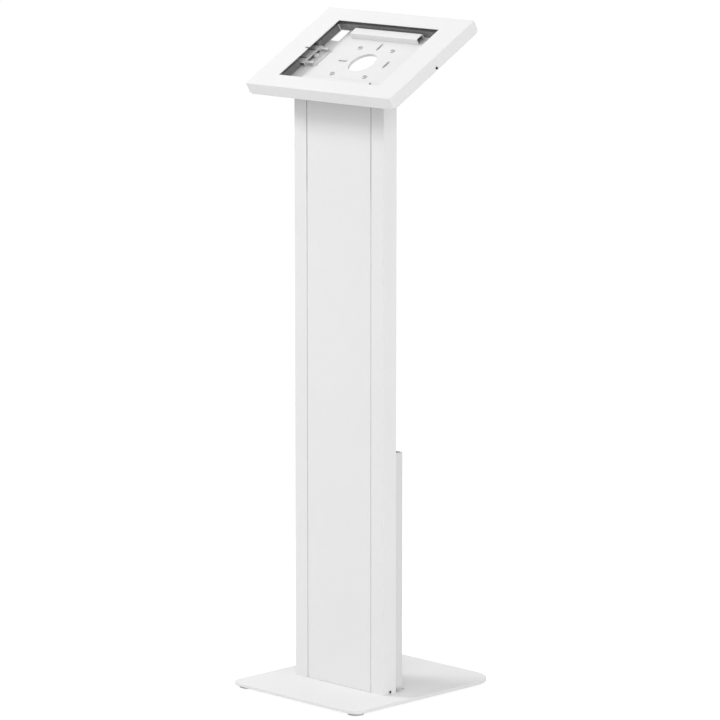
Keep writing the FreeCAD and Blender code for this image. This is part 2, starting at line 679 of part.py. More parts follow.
def head_tray():
    """Floor of the head, with an upturned lip along its front and its back."""
    front = TRAY_EDGE
    rear = HEAD_LENGTH - TRAY_EDGE
    lip_top = TRAY_FLOOR + TRAY_LIP
    corners = [
        (front, TRAY_UNDERSIDE, TRAY_BEND),
        (rear, TRAY_UNDERSIDE, TRAY_BEND),
        (rear, lip_top, 0),
        (rear - TRAY_SHEET, lip_top, 0),
        (rear - TRAY_SHEET, TRAY_FLOOR, FOLD_INSIDE),
        (front + TRAY_SHEET, TRAY_FLOOR, FOLD_INSIDE),
        (front + TRAY_SHEET, lip_top, 0),
        (front, lip_top, 0),
    ]
    tray = prism_along_x(corners, -TRAY_HALF, TRAY_HALF)
    for side in (-1, 1):
        outer = side * (TRAY_HALF + PAST)
        inner = side * (TRAY_HALF - TRAY_LIP_RELIEF)
        for y0, y1 in ((front - PAST, front + TRAY_BEND), (rear - TRAY_BEND, rear + PAST)):
            tray = tray.cut(block(min(outer, inner), max(outer, inner), y0, y1,
                                  TRAY_UNDERSIDE - PAST, lip_top + PAST))
    centre = Vector(0, TABLET_CENTRE, TRAY_FLOOR)
    down = Vector(0, 0, -TRAY_SHEET - PAST)
    up = Vector(0, 0, PAST)
    tray = tray.cut(rod(CABLE_HOLE, centre + up, centre + down))
    for spot in vesa_places() + bracket_screw_places():
        tray = tray.cut(rod(VESA_SCREW + HOLE_CLEARANCE, spot + up, spot + down))
    cut_x = -FOAM_BORE_HALF_WIDTH
    cut_y = TABLET_CENTRE + FOAM_BORE_HALF_LENGTH
    tray = tray.cut(block(cut_x, cut_x + CUTOUT_WIDTH, cut_y - CUTOUT_LENGTH, cut_y,
                          TRAY_UNDERSIDE - PAST, TRAY_FLOOR + PAST))
    slot_half = LOOP_LENGTH / 2
    side_half = LOOP_WIDTH / 2 + LOOP_SLIT
    for x, y, lengthwise in loop_places():
        half_x, half_y = (side_half, slot_half) if lengthwise else (slot_half, side_half)
        tray = tray.cut(block(x - half_x, x + half_x, y - half_y, y + half_y,
                              TRAY_UNDERSIDE - PAST, TRAY_FLOOR + PAST))
        tray = tray.fuse(tie_loop(x, y, lengthwise))
    return tray


def loop_places():
    """Middle of each loop for a cable tie, and whether it lies up the slope."""
    return [
        (-LOOP_LEFT_OFFSET, TABLET_CENTRE, False),
        (0, TABLET_CENTRE + LOOP_REAR_OFFSET, True),
        (LOOP_RIGHT_OFFSET, TABLET_CENTRE, True),
    ]


def tie_loop(x, y, lengthwise):
    """Strip of the tray's floor, pressed up between two slits."""
    half = LOOP_LENGTH / 2
    flat = half - LOOP_RAMP
    across = y if lengthwise else x
    corners = [
        (across - half, TRAY_UNDERSIDE, 0),
        (across - half, TRAY_FLOOR, 0),
        (across - flat, TRAY_FLOOR + LOOP_RISE, 0),
        (across + flat, TRAY_FLOOR + LOOP_RISE, 0),
        (across + half, TRAY_FLOOR, 0),
        (across + half, TRAY_UNDERSIDE, 0),
        (across + flat, TRAY_UNDERSIDE + LOOP_RISE, 0),
        (across - flat, TRAY_UNDERSIDE + LOOP_RISE, 0),
    ]
    if lengthwise:
        return prism_along_x(corners, x - LOOP_WIDTH / 2, x + LOOP_WIDTH / 2)
    return prism_along_y(corners, y - LOOP_WIDTH / 2, y + LOOP_WIDTH / 2)


def corner_posts():
    """Square posts in the corners of the pocket, between the foam strips."""
    posts = []
    for x_side in (-1, 1):
        for y_side in (-1, 1):
            across = sorted((x_side * FOAM_BORE_HALF_WIDTH, x_side * (FOAM_BORE_HALF_WIDTH + CORNER_POST)))
            end = FOAM_BORE_HALF_LENGTH - FOAM_SEAM
            along = sorted((TABLET_CENTRE + y_side * end, TABLET_CENTRE + y_side * (end - CORNER_POST)))
            posts.append(block(across[0], across[1], along[0], along[1], TRAY_FLOOR, TABLET_BACK))
    return Part.makeCompound(posts)


def vesa_screws():
    length = TRAY_SHEET + PLATE_THICKNESS
    screws = [button_screw(VESA_SCREW, length, VESA_SCREW_HEAD, VESA_SCREW_HEAD_HEIGHT, spot,
                           Vector(0, 0, -1)) for spot in vesa_places()]
    return Part.makeCompound(screws)


def tray_rail(offset):
    """Channel across the tray, open side down, that backs the tablet."""
    middle = TABLET_CENTRE + offset
    half = RAIL_WIDTH / 2
    top = TRAY_FLOOR + RAIL_HEIGHT
    corners = [
        (middle - half, TRAY_FLOOR, 0),
        (middle - half + RAIL_SHEET, TRAY_FLOOR, 0),
        (middle - half + RAIL_SHEET, top - RAIL_SHEET, FOLD_INSIDE),
        (middle + half - RAIL_SHEET, top - RAIL_SHEET, FOLD_INSIDE),
        (middle + half - RAIL_SHEET, TRAY_FLOOR, 0),
        (middle + half, TRAY_FLOOR, 0),
        (middle + half, top, RAIL_BEND),
        (middle - half, top, RAIL_BEND),
    ]
    return prism_along_x(corners, -RAIL_LENGTH / 2, RAIL_LENGTH / 2)


def foam_outline(bore, pocket, outside):
    """Section of a foam strip: a low step under the tablet's edge and a high wall beside it."""
    return [
        (bore, TRAY_FLOOR, 0),
        (outside, TRAY_FLOOR, 0),
        (outside, FOAM_TOP, 0),
        (pocket, FOAM_TOP, 0),
        (pocket, TABLET_BACK, 0),
        (bore, TABLET_BACK, 0),
    ]


def foam_across(direction):
    """Strip along the front or the back of the tablet."""
    reach = LIP_REACH - FOAM_PLAY + direction * TABLET_OFFSET
    section = foam_outline(FOAM_BORE_HALF_LENGTH, POCKET_HALF_LENGTH, reach)
    corners = [(TABLET_CENTRE + direction * y, z, radius) for y, z, radius in section]
    return prism_along_x(corners, -FOAM_HALF_WIDTH, FOAM_HALF_WIDTH)


def foam_beside(side, direction):
    """Strip beside the tablet, from the bracket in the middle to the strip across the end."""
    section = foam_outline(FOAM_BORE_HALF_WIDTH, POCKET_HALF_WIDTH, FOAM_HALF_WIDTH)
    corners = [(side * x, z, radius) for x, z, radius in section]
    near = BRACKET_LENGTH / 2 + FOAM_BRACKET_GAP
    far = FOAM_BORE_HALF_LENGTH - CORNER_POST - 2 * FOAM_SEAM
    places = sorted((TABLET_CENTRE + direction * near, TABLET_CENTRE + direction * far))
    return prism_along_y(corners, places[0], places[1])


def foam_under_bracket(side):
    """Low strip under the shelf of a side bracket."""
    inner = BRACKET_RISER + BRACKET_SHEET + FOAM_PLAY
    outer = HEAD_WIDTH / 2 - LOCK_SCREW_LENGTH - FOAM_PLAY
    half = BRACKET_LENGTH / 2 - FOAM_PLAY
    x0, x1 = sorted((side * inner, side * outer))
    return block(x0, x1, TABLET_CENTRE - half, TABLET_CENTRE + half, TRAY_FLOOR,
                 TRAY_FLOOR + BRACKET_HEIGHT - BRACKET_SHEET - FOAM_TOP_GAP)


def bracket_screw_places():
    return [Vector(side * BRACKET_SCREW_PLACE, TABLET_CENTRE, TRAY_FLOOR) for side in (-1, 1)]


def side_bracket(pad_end):
    """Folded bracket: a pad between two arms, a riser, a shelf out to the frame and a flange for the lock."""
    top = TRAY_FLOOR + BRACKET_HEIGHT
    pad_top = TRAY_FLOOR + BRACKET_SHEET
    shelf_underside = top - BRACKET_SHEET
    end = -TRAY_HALF
    riser = -BRACKET_RISER
    riser_inner = riser - BRACKET_SHEET
    corners = [
        (-pad_end, TRAY_FLOOR, 0),
        (-pad_end, pad_top, 0),
        (riser, pad_top, FOLD_INSIDE),
        (riser, top, BRACKET_BEND),
        (end, top, BRACKET_BEND),
        (end, TRAY_FLOOR, 0),
        (end + BRACKET_SHEET, TRAY_FLOOR, 0),
        (end + BRACKET_SHEET, shelf_underside, FOLD_INSIDE),
        (riser_inner, shelf_underside, FOLD_INSIDE),
        (riser_inner, TRAY_FLOOR, BRACKET_BEND),
    ]
    y0 = TABLET_CENTRE - BRACKET_LENGTH / 2
    y1 = TABLET_CENTRE + BRACKET_LENGTH / 2
    bracket = prism_along_y(corners, y0, y1)
    edge = BRACKET_ARM_SPREAD / 2
    wall_outer = edge - BRACKET_ARM_FLANGE + BRACKET_SHEET
    wall_inner = edge - BRACKET_ARM_FLANGE
    for side in (-1, 1):
        spare = sorted((TABLET_CENTRE + side * wall_outer, TABLET_CENTRE + side * BRACKET_LENGTH))
        bracket = bracket.cut(block(riser, -pad_end + PAST, spare[0], spare[1],
                                    TRAY_FLOOR - PAST, pad_top + TIP_MARGIN))
        wall = sorted((TABLET_CENTRE + side * wall_inner, TABLET_CENTRE + side * wall_outer))
        flange = sorted((TABLET_CENTRE + side * wall_inner, TABLET_CENTRE + side * edge))
        bracket = bracket.fuse(block(riser_inner, -pad_end, wall[0], wall[1], TRAY_FLOOR, top))
        bracket = bracket.fuse(block(riser_inner, -pad_end, flange[0], flange[1], shelf_underside, top))
    window_half = wall_inner - BRACKET_WINDOW_END
    bracket = bracket.cut(block(riser_inner - TIP_MARGIN, riser + TIP_MARGIN,
                                TABLET_CENTRE - window_half, TABLET_CENTRE + window_half,
                                pad_top, shelf_underside))
    slot_start = riser - BRACKET_SLOT_MARGIN
    for offset in (-BRACKET_SLOT_OFFSET, BRACKET_SLOT_OFFSET):
        middle = TABLET_CENTRE + offset
        bracket = bracket.cut(block(slot_start - BRACKET_SLOT_LENGTH, slot_start,
                                    middle - BRACKET_SLOT_WIDTH / 2, middle + BRACKET_SLOT_WIDTH / 2,
                                    top - BRACKET_SHEET - TIP_MARGIN, top + PAST))
    pad_hole = Vector(-BRACKET_SCREW_PLACE, TABLET_CENTRE, TRAY_FLOOR)
    bracket = bracket.cut(rod(VESA_SCREW + HOLE_CLEARANCE, pad_hole - Vector(0, 0, PAST),
                              pad_hole + Vector(0, 0, BRACKET_SHEET + PAST)))
    lock = Vector(end, LOCK_PLACE, -LOCK_SCREW_DEPTH)
    bracket = bracket.cut(rod(LOCK_SCREW + 2 * THREAD_CLEARANCE, lock - Vector(PAST, 0, 0),
                              lock + Vector(BRACKET_SHEET + PAST, 0, 0)))
    return bracket.removeSplitter()


def side_bracket_screws():
    screws = []
    for spot in bracket_screw_places():
        seat = spot + Vector(0, 0, BRACKET_SHEET)
        screws.append(button_screw(VESA_SCREW, BRACKET_SHEET + TRAY_SHEET, VESA_SCREW_HEAD,
                                   VESA_SCREW_HEAD_HEIGHT, seat, Vector(0, 0, -1)))
    return Part.makeCompound(screws)


def frame_lock_screw(side):
    """Black lock screw in the side of the frame, held by the bracket's flange."""
    seat = Vector(side * (HEAD_WIDTH / 2 + LOCK_HEAD_GAP), LOCK_PLACE, -LOCK_SCREW_DEPTH)
    return button_screw(LOCK_SCREW, LOCK_SCREW_LENGTH, LOCK_SCREW_HEAD, LOCK_SCREW_HEAD_HEIGHT, seat,
                        Vector(-side, 0, 0))


def corner_cut(x_side, y, inward):
    """Wedge that takes the lower tip off one corner of the frame."""
    tip = Vector(x_side * HEAD_WIDTH / 2, y, -HEAD_HEIGHT)
    ends = [
        tip + Vector(0, 0, FRAME_CORNER_CUT_RISE),
        tip - Vector(x_side * FRAME_CORNER_CUT_RUN, 0, 0),
        tip + Vector(0, inward * FRAME_CORNER_CUT_RUN, 0),
    ]
    middle = (ends[0] + ends[1] + ends[2]) / 3
    wide = [middle + (end - middle) * 2 for end in ends]
    apex = tip + (tip - middle) * 3
    faces = [Part.Face(Part.makePolygon(wide + [wide[0]]))]
    for index in range(3):
        start = wide[index]
        end = wide[(index + 1) % 3]
        faces.append(Part.Face(Part.makePolygon([start, end, apex, start])))
    wedge = Part.Solid(Part.Shell(faces))
    if wedge.Volume < 0:
        wedge.reverse()
    return wedge


def window_undercut(y0, y1):
    """Sloped sides that thin the sheet from below, all round the window."""
    rings = []
    for grown, level in ((WINDOW_UNDERCUT + TIP_MARGIN, -FRAME_SHEET - TIP_MARGIN),
                         (0, WINDOW_UNDERCUT - FRAME_SHEET)):
        half = WINDOW_WIDTH / 2 + grown
        ends = [
            Vector(-half, y0 - grown, level),
            Vector(half, y0 - grown, level),
            Vector(half, y1 + grown, level),
            Vector(-half, y1 + grown, level),
        ]
        rings.append(Part.makePolygon(ends + ends[:1]))
    return Part.makeLoft(rings, True, True)


def front_frame():
    """Front of the head: a shallow box, open below, with the window for the screen in its face."""
    half = HEAD_WIDTH / 2
    box = prism_along_z(rectangle(-half, half, 0, HEAD_LENGTH, FRAME_CORNER, FRAME_CORNER),
                        -HEAD_HEIGHT, 0)
    rim = [edge for edge in box.Edges if edge.BoundBox.ZMin > -0.01]
    box = box.makeFillet(FRAME_BEND, rim)
    inner = half - FRAME_SHEET
    inner_corner = FRAME_CORNER - FRAME_SHEET
    hollow = prism_along_z(rectangle(-inner, inner, FRAME_SHEET, HEAD_LENGTH - FRAME_SHEET,
                                     inner_corner, inner_corner),
                           -HEAD_HEIGHT - PAST, -FRAME_SHEET)
    window_y0 = TABLET_CENTRE + WINDOW_OFFSET - WINDOW_LENGTH / 2
    window_y1 = window_y0 + WINDOW_LENGTH
    window = block(-WINDOW_WIDTH / 2, WINDOW_WIDTH / 2, window_y0, window_y1, -FRAME_SHEET - PAST, PAST)
    window = window.fuse(window_undercut(window_y0, window_y1))
    notch_end = -WINDOW_WIDTH / 2 - CAMERA_NOTCH_LENGTH + CAMERA_NOTCH_WIDTH / 2
    notch = block(notch_end, 0, TABLET_CENTRE - CAMERA_NOTCH_WIDTH / 2,
                  TABLET_CENTRE + CAMERA_NOTCH_WIDTH / 2, -FRAME_SHEET - TIP_MARGIN, PAST)
    notch = notch.fuse(rod(CAMERA_NOTCH_WIDTH, Vector(notch_end, TABLET_CENTRE, -FRAME_SHEET - TIP_MARGIN),
                           Vector(notch_end, TABLET_CENTRE, PAST)))
    frame = box.cut(hollow).cut(window).cut(notch)
    slot_half = LOCK_SCREW / 2 + LOCK_SLOT_CLEARANCE
    slot = block(-half - PAST, half + PAST, LOCK_PLACE - slot_half, LOCK_PLACE + slot_half,
                 -HEAD_HEIGHT - PAST, -LOCK_SCREW_DEPTH)
    slot = slot.fuse(rod(2 * slot_half, Vector(-half - PAST, LOCK_PLACE, -LOCK_SCREW_DEPTH),
                         Vector(half + PAST, LOCK_PLACE, -LOCK_SCREW_DEPTH)))
    frame = frame.cut(slot)
    for x_side in (-1, 1):
        frame = frame.cut(corner_cut(x_side, 0, 1)).cut(corner_cut(x_side, HEAD_LENGTH, -1))
    return frame


# All the pieces by name

def pieces():
    parts = {
        "base_plate": base_plate(),
        "seat_plate": seat_plate(),
        "seat_bolts": seat_bolts(),
        "column_shell": column_shell(),
        "column_side_screws": column_side_screws(),
        "column_front_panel": column_front_panel(),
        "column_infill": column_infill(),
        "panel_magnets": panel_magnets(),
        "rear_cover": rear_cover(),
        "cover_standoffs": cover_standoffs(),
        "cover_screws": cover_screws(),
        "head_bracket": head_bracket(),
        "spigot_screws": spigot_screws(),
        "head_tray": tilted(head_tray()),
        "vesa_screws": tilted(vesa_screws()),
        "corner_posts": tilted(corner_posts()),
        "tray_rail_front": tilted(tray_rail(-RAIL_OFFSET)),
        "tray_rail_rear": tilted(tray_rail(RAIL_OFFSET)),
        "foam_front": tilted(foam_across(-1)),
        "foam_rear": tilted(foam_across(1)),
        "side_bracket_left": tilted(side_bracket(BRACKET_LEFT_PAD_END)),
        "side_bracket_right": tilted(mirrored(side_bracket(BRACKET_RIGHT_PAD_END))),
        "side_bracket_screws": tilted(side_bracket_screws()),
        "front_frame": tilted(front_frame()),
    }
    for name, (x, y) in foot_places().items():
        parts[name] = base_foot(x, y)
    for name, level in BRIDGE_LEVELS.items():
        parts["column_bridge_" + name] = column_bridge(level)
    for name, level in CABLE_WINDOW_LEVELS.items():
        parts["cable_grommet_" + name] = cable_grommet(level)
    for side_name, side in (("left", -1), ("right", 1)):
        parts["frame_lock_screw_" + side_name] = tilted(frame_lock_screw(side))
        parts["foam_" + side_name + "_middle"] = tilted(foam_under_bracket(side))
        for end_name, direction in (("front", -1), ("rear", 1)):
            parts["foam_" + side_name + "_" + end_name] = tilted(foam_beside(side, direction))
    return parts


def save(parts):
    os.makedirs("parts", exist_ok=True)
    for name, shape in parts.items():
        if not shape.isValid():
            raise ValueError(name + " isn't a valid solid")
        shape.exportStep("parts/" + name + ".step")


save(pieces())
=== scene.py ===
import itertools
import math
from collections import namedtuple

import bmesh
import bpy
from mathutils import Matrix, Vector


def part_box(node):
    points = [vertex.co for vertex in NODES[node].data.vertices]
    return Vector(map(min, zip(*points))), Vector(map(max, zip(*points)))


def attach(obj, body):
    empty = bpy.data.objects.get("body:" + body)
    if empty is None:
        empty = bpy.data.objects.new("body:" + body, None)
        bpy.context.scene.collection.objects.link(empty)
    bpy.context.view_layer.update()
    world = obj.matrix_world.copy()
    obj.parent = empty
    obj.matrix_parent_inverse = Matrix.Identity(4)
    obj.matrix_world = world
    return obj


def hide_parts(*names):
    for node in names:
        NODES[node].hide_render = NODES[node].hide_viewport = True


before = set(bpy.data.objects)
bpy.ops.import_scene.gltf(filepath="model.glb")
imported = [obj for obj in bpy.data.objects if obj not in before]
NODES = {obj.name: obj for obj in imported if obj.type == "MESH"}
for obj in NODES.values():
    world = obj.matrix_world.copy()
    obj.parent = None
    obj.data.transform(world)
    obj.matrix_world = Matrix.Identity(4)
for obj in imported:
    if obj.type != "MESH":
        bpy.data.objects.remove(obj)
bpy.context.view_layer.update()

# A white, powder-coated floor stand for a tablet, in a bright studio.
# Metres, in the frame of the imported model: X right of the front, Y back, Z up.

MM = 0.001

# Camera: direction to the camera from the object, and what the picture's middle looks at
CAMERA_AZIMUTH = math.radians(45.024)
CAMERA_ELEVATION = math.radians(9.877)
CAMERA_DISTANCE = 7.2592
CAMERA_SIDE_SHIFT = -0.0074
CAMERA_LEVEL = 0.5556
CAMERA_REACH = 60.0
PICTURE_WIDTH = 720
FOCAL_LENGTH_PIXELS = 4364.4
SENSOR_WIDTH = 36.0

# Head: the tilt of its face and the place of its front edge, and measures on the face
HEAD_TILT = math.radians(30.0)
FACE_FRONT_Y = -111.0 * MM
FACE_FRONT_Z = 1014.0 * MM
FACE_NORMAL = Vector((0.0, -math.sin(HEAD_TILT), math.cos(HEAD_TILT)))
TRAY_DEPTH = 20.0 * MM
TABLET_CENTRE = 111.0 * MM
SCREW_SQUARE = 75.0 * MM

# Folded side brackets: thickness of their sheet and rear cheek, and depth of their shelf below the face
BRACKET_SHEET = 1.5 * MM
BRACKET_CHEEK = 1.2 * MM
BRACKET_TOP_DEPTH = 13.0 * MM
BRACKET_ROUNDING = 0.45 * MM
# Distances from the middle of the face
BRACKET_ARM_END = 94.5 * MM
BRACKET_SCREW_X = 105.0 * MM
BRACKET_RISER = 112.0 * MM
BRACKET_SLOT_REACH = (119.0 * MM, 147.0 * MM)
# Distances up the slope of the face
BRACKET_ENDS = (85.8 * MM, 136.2 * MM)
BRACKET_ARMS = ((88.2 * MM, 92.7 * MM), (127.6 * MM, 132.4 * MM))
BRACKET_WINDOW = (93.7 * MM, 126.6 * MM)
BRACKET_SLOTS = ((99.2 * MM, 102.4 * MM), (122.4 * MM, 126.0 * MM))

# Screws: height of the head, width of its socket across flats, and radius and length of the shank
Screw = namedtuple("Screw", "height socket shank_radius shank_length")
MOUNTING_SCREW = Screw(2.2 * MM, 2.5 * MM, 2.0 * MM, 4.5 * MM)
BRACKET_SCREW = Screw(5.2 * MM, 4.0 * MM, 2.0 * MM, 3.0 * MM)
COVER_SCREW = Screw(2.2 * MM, 2.5 * MM, 2.0 * MM, 12.0 * MM)
NECK_SCREW = Screw(3.3 * MM, 4.0 * MM, 3.0 * MM, 5.0 * MM)
SIDE_SCREW = Screw(0.9 * MM, 1.1 * MM, 1.9 * MM, 8.0 * MM)
LOCK_SCREW = Screw(1.6 * MM, 2.0 * MM, 1.5 * MM, 8.0 * MM)
# Radius of the heads that the frame's boxes don't give
MOUNTING_HEAD_RADIUS = 4.0 * MM
BRACKET_HEAD_RADIUS = 4.2 * MM
COVER_HEAD_RADIUS = 4.0 * MM
SIDE_HEAD_RADIUS = 2.1 * MM

# Button head: tip, pitch and root of its thread in shares of the shank's radius, seat and flat top in
# shares of the head's own radius, and rim in a share of the head's height
SHANK_TIP = 0.7
THREAD_PITCH = 0.34
THREAD_ROOT = 0.88
HEAD_SEAT = 0.97
CROWN_FLAT = 0.62
CROWN_RIM = 0.12
CROWN_STEPS = 6
# Profiles in shares of a radius or of the socket's width, and of a length or height
CAP_SHANK = ((0.8, 1.0), (1.0, 0.85), (1.0, 0.0))
CAP_PROFILE = ((0.96, 0.0), (1.0, 0.06), (1.0, 0.88), (0.97, 0.95), (0.90, 1.0))
CAP_SOCKET = ((1.16, 1.0), (1.0, 0.95), (1.0, 0.42))
BUTTON_SOCKET = ((1.14, 1.0), (1.0, 0.93), (1.0, 0.38))
# Floor of the sockets: radius in a share of the socket's width, and level in a share of the height
SOCKET_FLOOR = 0.12
CAP_FLOOR_LEVEL = 0.34
BUTTON_FLOOR_LEVEL = 0.24

# Washers of the side screws: how far they keep from the ends of the node's box, and their profile in
# shares of radius and height, up to the seat of the screw
SIDE_SCREW_PROUD = 2.2 * MM
WASHER_HEIGHT = 1.3 * MM
WASHER_SEAT = 0.86
WASHER_PROFILE = (
    (0.96, 0.0), (1.0, 0.12), (1.0, 0.45), (0.97, 0.72), (0.90, 0.92), (0.80, 1.0), (0.66, 1.0),
    (0.60, WASHER_SEAT),
)

# Feet: profile in shares of radius and height, with a ring groove in the tread
FOOT_PROFILE = (
    (0.30, 0.0), (0.62, 0.0), (0.64, 0.16), (0.74, 0.16), (0.76, 0.0), (0.90, 0.0), (0.955, 0.05),
    (0.988, 0.14), (1.0, 0.30), (1.0, 0.78), (0.985, 0.86), (0.985, 1.0),
)

# Beads in the grooves beside the front panel, which start and end short of it with tapered ends
LIP_EDGE = 75.5 * MM
BEAD_WIDTH = 1.2 * MM
BEAD_SETBACK = 1.0 * MM
BEAD_BACK = 3.5 * MM
BEAD_END_GAP = 1.0 * MM
BEAD_TAPER = 0.6 * MM
BEAD_TAPER_SETBACK = 0.2 * MM
BEAD_TAPER_SHARE = 0.7
BEAD_STEPS = 8

# Rounding of sharp edges, and the distance and angle, in degrees, under which corners and faces are joined
FOAM_ROUNDING = 0.6 * MM
GROMMET_ROUNDING = 0.5 * MM
ROUNDING_STEPS = 3
ROUND_PROFILE = 0.5
MERGE_DISTANCE = 0.002 * MM
FLAT_ANGLE = 1.0
# Sides of round pieces, and the angles, in degrees, from which the edges of a piece count as sharp
SCREW_SIDES = 48
FOOT_SIDES = 72
SOLID_ANGLE = 25.0
BRACKET_ANGLE = 30.0
SCREW_ANGLE = 32.0
FOOT_ANGLE = 35.0
BEAD_ANGLE = 40.0

# Painted shade, which darkens the paint near other surfaces: its reach and depth, how open a spot is where
# the shade is full and where it ends, and the two levels between which it sets in; rays that it and a soft
# edge take
# Painted shade on the top of the column, under the head
COLUMN_SHADE = (75.0 * MM, 0.36, (0.35, 1.0), (0.82, 0.86))
# Painted shade on the tray, the head bracket and the corner posts, near walls and brackets
TRAY_SHADE = (24.0 * MM, 0.22, (0.35, 1.0), (0.0, 0.01))
# Painted shade inside the rails, where they are nearly closed
RAIL_SHADE = (22.0 * MM, 0.50, (0.15, 0.42), (0.0, 0.01))
SHADE_SAMPLES = 6

# Colours, linear
WHITE = (1.0, 1.0, 1.0)
BLACK = (0.0, 0.0, 0.0)
WHITE_PAINT = (0.87, 0.87, 0.87)
# Greyer copy of the white paint for the cable cover, a painted shade that darkens its side
SHADED_COVER_PAINT = (0.76, 0.76, 0.76)
TRAY_PAINT = (0.85, 0.85, 0.85)
ZINC = (0.52, 0.53, 0.54)
SATIN_ZINC = (0.72, 0.72, 0.72)
BLACK_STEEL = (0.018, 0.018, 0.019)
NICKEL = (0.62, 0.61, 0.58)
BLACK_RUBBER = (0.016, 0.016, 0.016)
GREY_RUBBER = (0.58, 0.58, 0.58)
FOAM = (0.17, 0.17, 0.175)

# Noise in the finishes (scale, detail and roughness), and the values of it that a mix or a gloss spans
PAINT_CLOUDS = (9.0, 3.0, 0.5)
PAINT_PEEL = (1100.0, 2.0, 0.6)
PAINT_SPECKS = (3410.0, 1.0, 0.5)
STEEL_MOTTLE = (420.0, 3.0, 0.6)
STEEL_MARKS = (5200.0, 1.0, 0.5)
RUBBER_DUST = (90.0, 4.0, 0.6)
FOAM_CLOUDS = (260.0, 3.0, 0.7)
NOISE_SPAN = (0.3, 0.7)
CLOUD_SPAN = (0.35, 0.65)
MARK_SPAN = (0.25, 0.75)
DUST_SPAN = (0.45, 0.75)

# Powder coat: share of the specks in its relief, tone of its clouds, its edges (the two facings between
# which an edge shows, and its radius, cover, tone and added gloss), and the spread of its roughness
SPECK_SHARE = 0.35
CLOUD_TONE = 0.985
EDGE_FACING = (0.98, 0.75)
EDGE_RADIUS = 0.7 * MM
EDGE_COVER = 0.5
EDGE_TONE = 0.93
EDGE_GLOSS = 0.06
GLOSS_SPREAD = 0.03
PAINT_SPECULAR = 0.3

# Relief of each finish: strength and distance
PAINT_RELIEF = (0.05, 0.25 * MM)
STEEL_RELIEF = (0.08, 0.05 * MM)
RUBBER_RELIEF = (0.25, 0.12 * MM)
FOAM_RELIEF = (0.6, 0.4 * MM)

# Steel, rubber and foam: the spread or bounds of their roughness, the dust on rubber, the cells of foam
STEEL_ROUGHNESS_SPREAD = (-0.06, 0.08)
RUBBER_ROUGHNESS = (0.62, 0.82)
DUST_COVER = 0.5
DUST_TONE = 1.7
FOAM_CELL_SCALES = (900.0, 2300.0)
FOAM_CELL_SPAN = (0.1, 0.9)
FINE_CELL_SHARE = 0.5
FOAM_TONE_SHARE = 0.5
FOAM_TONES = (0.6, 1.6)
FOAM_ROUGHNESS = 0.92
FOAM_SHEEN = 0.15

# Light: an even dome, and soft lamps at an azimuth and elevation from the object, with their distance,
# size and power
WORLD_STRENGTH = 0.50
AIM = (0.0, 0.0, 0.55)
LAMPS = {
    "key": (-61.0, 35.0, 4.0, 1.1, 66.0),
    "right_fill": (90.0, 8.0, 4.0, 1.6, 32.0),
    "front_fill": (45.0, 40.0, 4.0, 2.0, 20.0),
    "low_fill": (10.0, 8.0, 4.0, 1.6, 8.0),
    "back_fill": (180.0, 40.0, 4.0, 2.0, 12.0),
    "top": (0.0, 85.0, 1.9, 0.8, 2.3),
}

# Floor: its bounce onto the object, and how it looks to the camera, white with a faint shadow
FLOOR_SIZE = 14.0
FLOOR_SEGMENTS = 4
FLOOR_PAPER = (0.88, 0.88, 0.88)
FLOOR_SHOWN = (0.20, 0.20, 0.20)
FLOOR_GLOW = 0.92


# Shader helpers

def new_material(name):
    material = bpy.data.materials.new(name)
    material.use_nodes = True
    tree = material.node_tree
    shader = tree.nodes["Principled BSDF"]
    return material, tree, shader


def add_node(tree, kind, **inputs):
    node = tree.nodes.new(kind)
    for key, value in inputs.items():
        node.inputs[key.replace("_", " ")].default_value = value
    return node


def object_coordinates(tree):
    return tree.nodes.new("ShaderNodeTexCoord").outputs["Object"]


def noise_texture(tree, vector, scale, detail=2.0, roughness=0.5):
    node = add_node(tree, "ShaderNodeTexNoise", Scale=scale, Detail=detail, Roughness=roughness)
    tree.links.new(vector, node.inputs["Vector"])
    return node.outputs["Fac"]


def remap(tree, value, low, high, new_low, new_high):
    node = tree.nodes.new("ShaderNodeMapRange")
    node.inputs["From Min"].default_value = low
    node.inputs["From Max"].default_value = high
    node.inputs["To Min"].default_value = new_low
    node.inputs["To Max"].default_value = new_high
    tree.links.new(value, node.inputs["Value"])
    return node.outputs["Result"]


def math_node(tree, operation, first, second):
    node = tree.nodes.new("ShaderNodeMath")
    node.operation = operation
    for socket, value in zip(node.inputs, (first, second)):
        if isinstance(value, (int, float)):
            socket.default_value = value
        else:
            tree.links.new(value, socket)
    return node.outputs[0]


def mix_colour(tree, factor, first, second):
    node = tree.nodes.new("ShaderNodeMix")
    node.data_type = "RGBA"
    tree.links.new(factor, node.inputs["Factor"])
    for name, value in (("A", first), ("B", second)):
        socket = [s for s in node.inputs if s.name == name and s.type == "RGBA"][0]
        if isinstance(value, tuple):
            socket.default_value = value + (1.0,)
        else:
            tree.links.new(value, socket)
    return [s for s in node.outputs if s.type == "RGBA"][0]


def scaled(colour, factor):
    return tuple(channel * factor for channel in colour)


def bump(tree, height, strength, distance, normal=None):
    node = add_node(tree, "ShaderNodeBump", Strength=strength, Distance=distance)
    tree.links.new(height, node.inputs["Height"])
    if normal is not None:
        tree.links.new(normal, node.inputs["Normal"])
    return node.outputs["Normal"]


def edge_mask(tree, radius):
    """Zero on flat surfaces and one on a sharp edge, with the rounded normal that shows it."""
    bevel = tree.nodes.new("ShaderNodeBevel")
    bevel.samples = SHADE_SAMPLES
    bevel.inputs["Radius"].default_value = radius
    geometry = tree.nodes.new("ShaderNodeNewGeometry")
    dot = tree.nodes.new("ShaderNodeVectorMath")
    dot.operation = "DOT_PRODUCT"
    tree.links.new(bevel.outputs["Normal"], dot.inputs[0])
    tree.links.new(geometry.outputs["Normal"], dot.inputs[1])
    mask = remap(tree, dot.outputs["Value"], *EDGE_FACING, 0.0, 1.0)
    return mask, bevel.outputs["Normal"]


# Materials

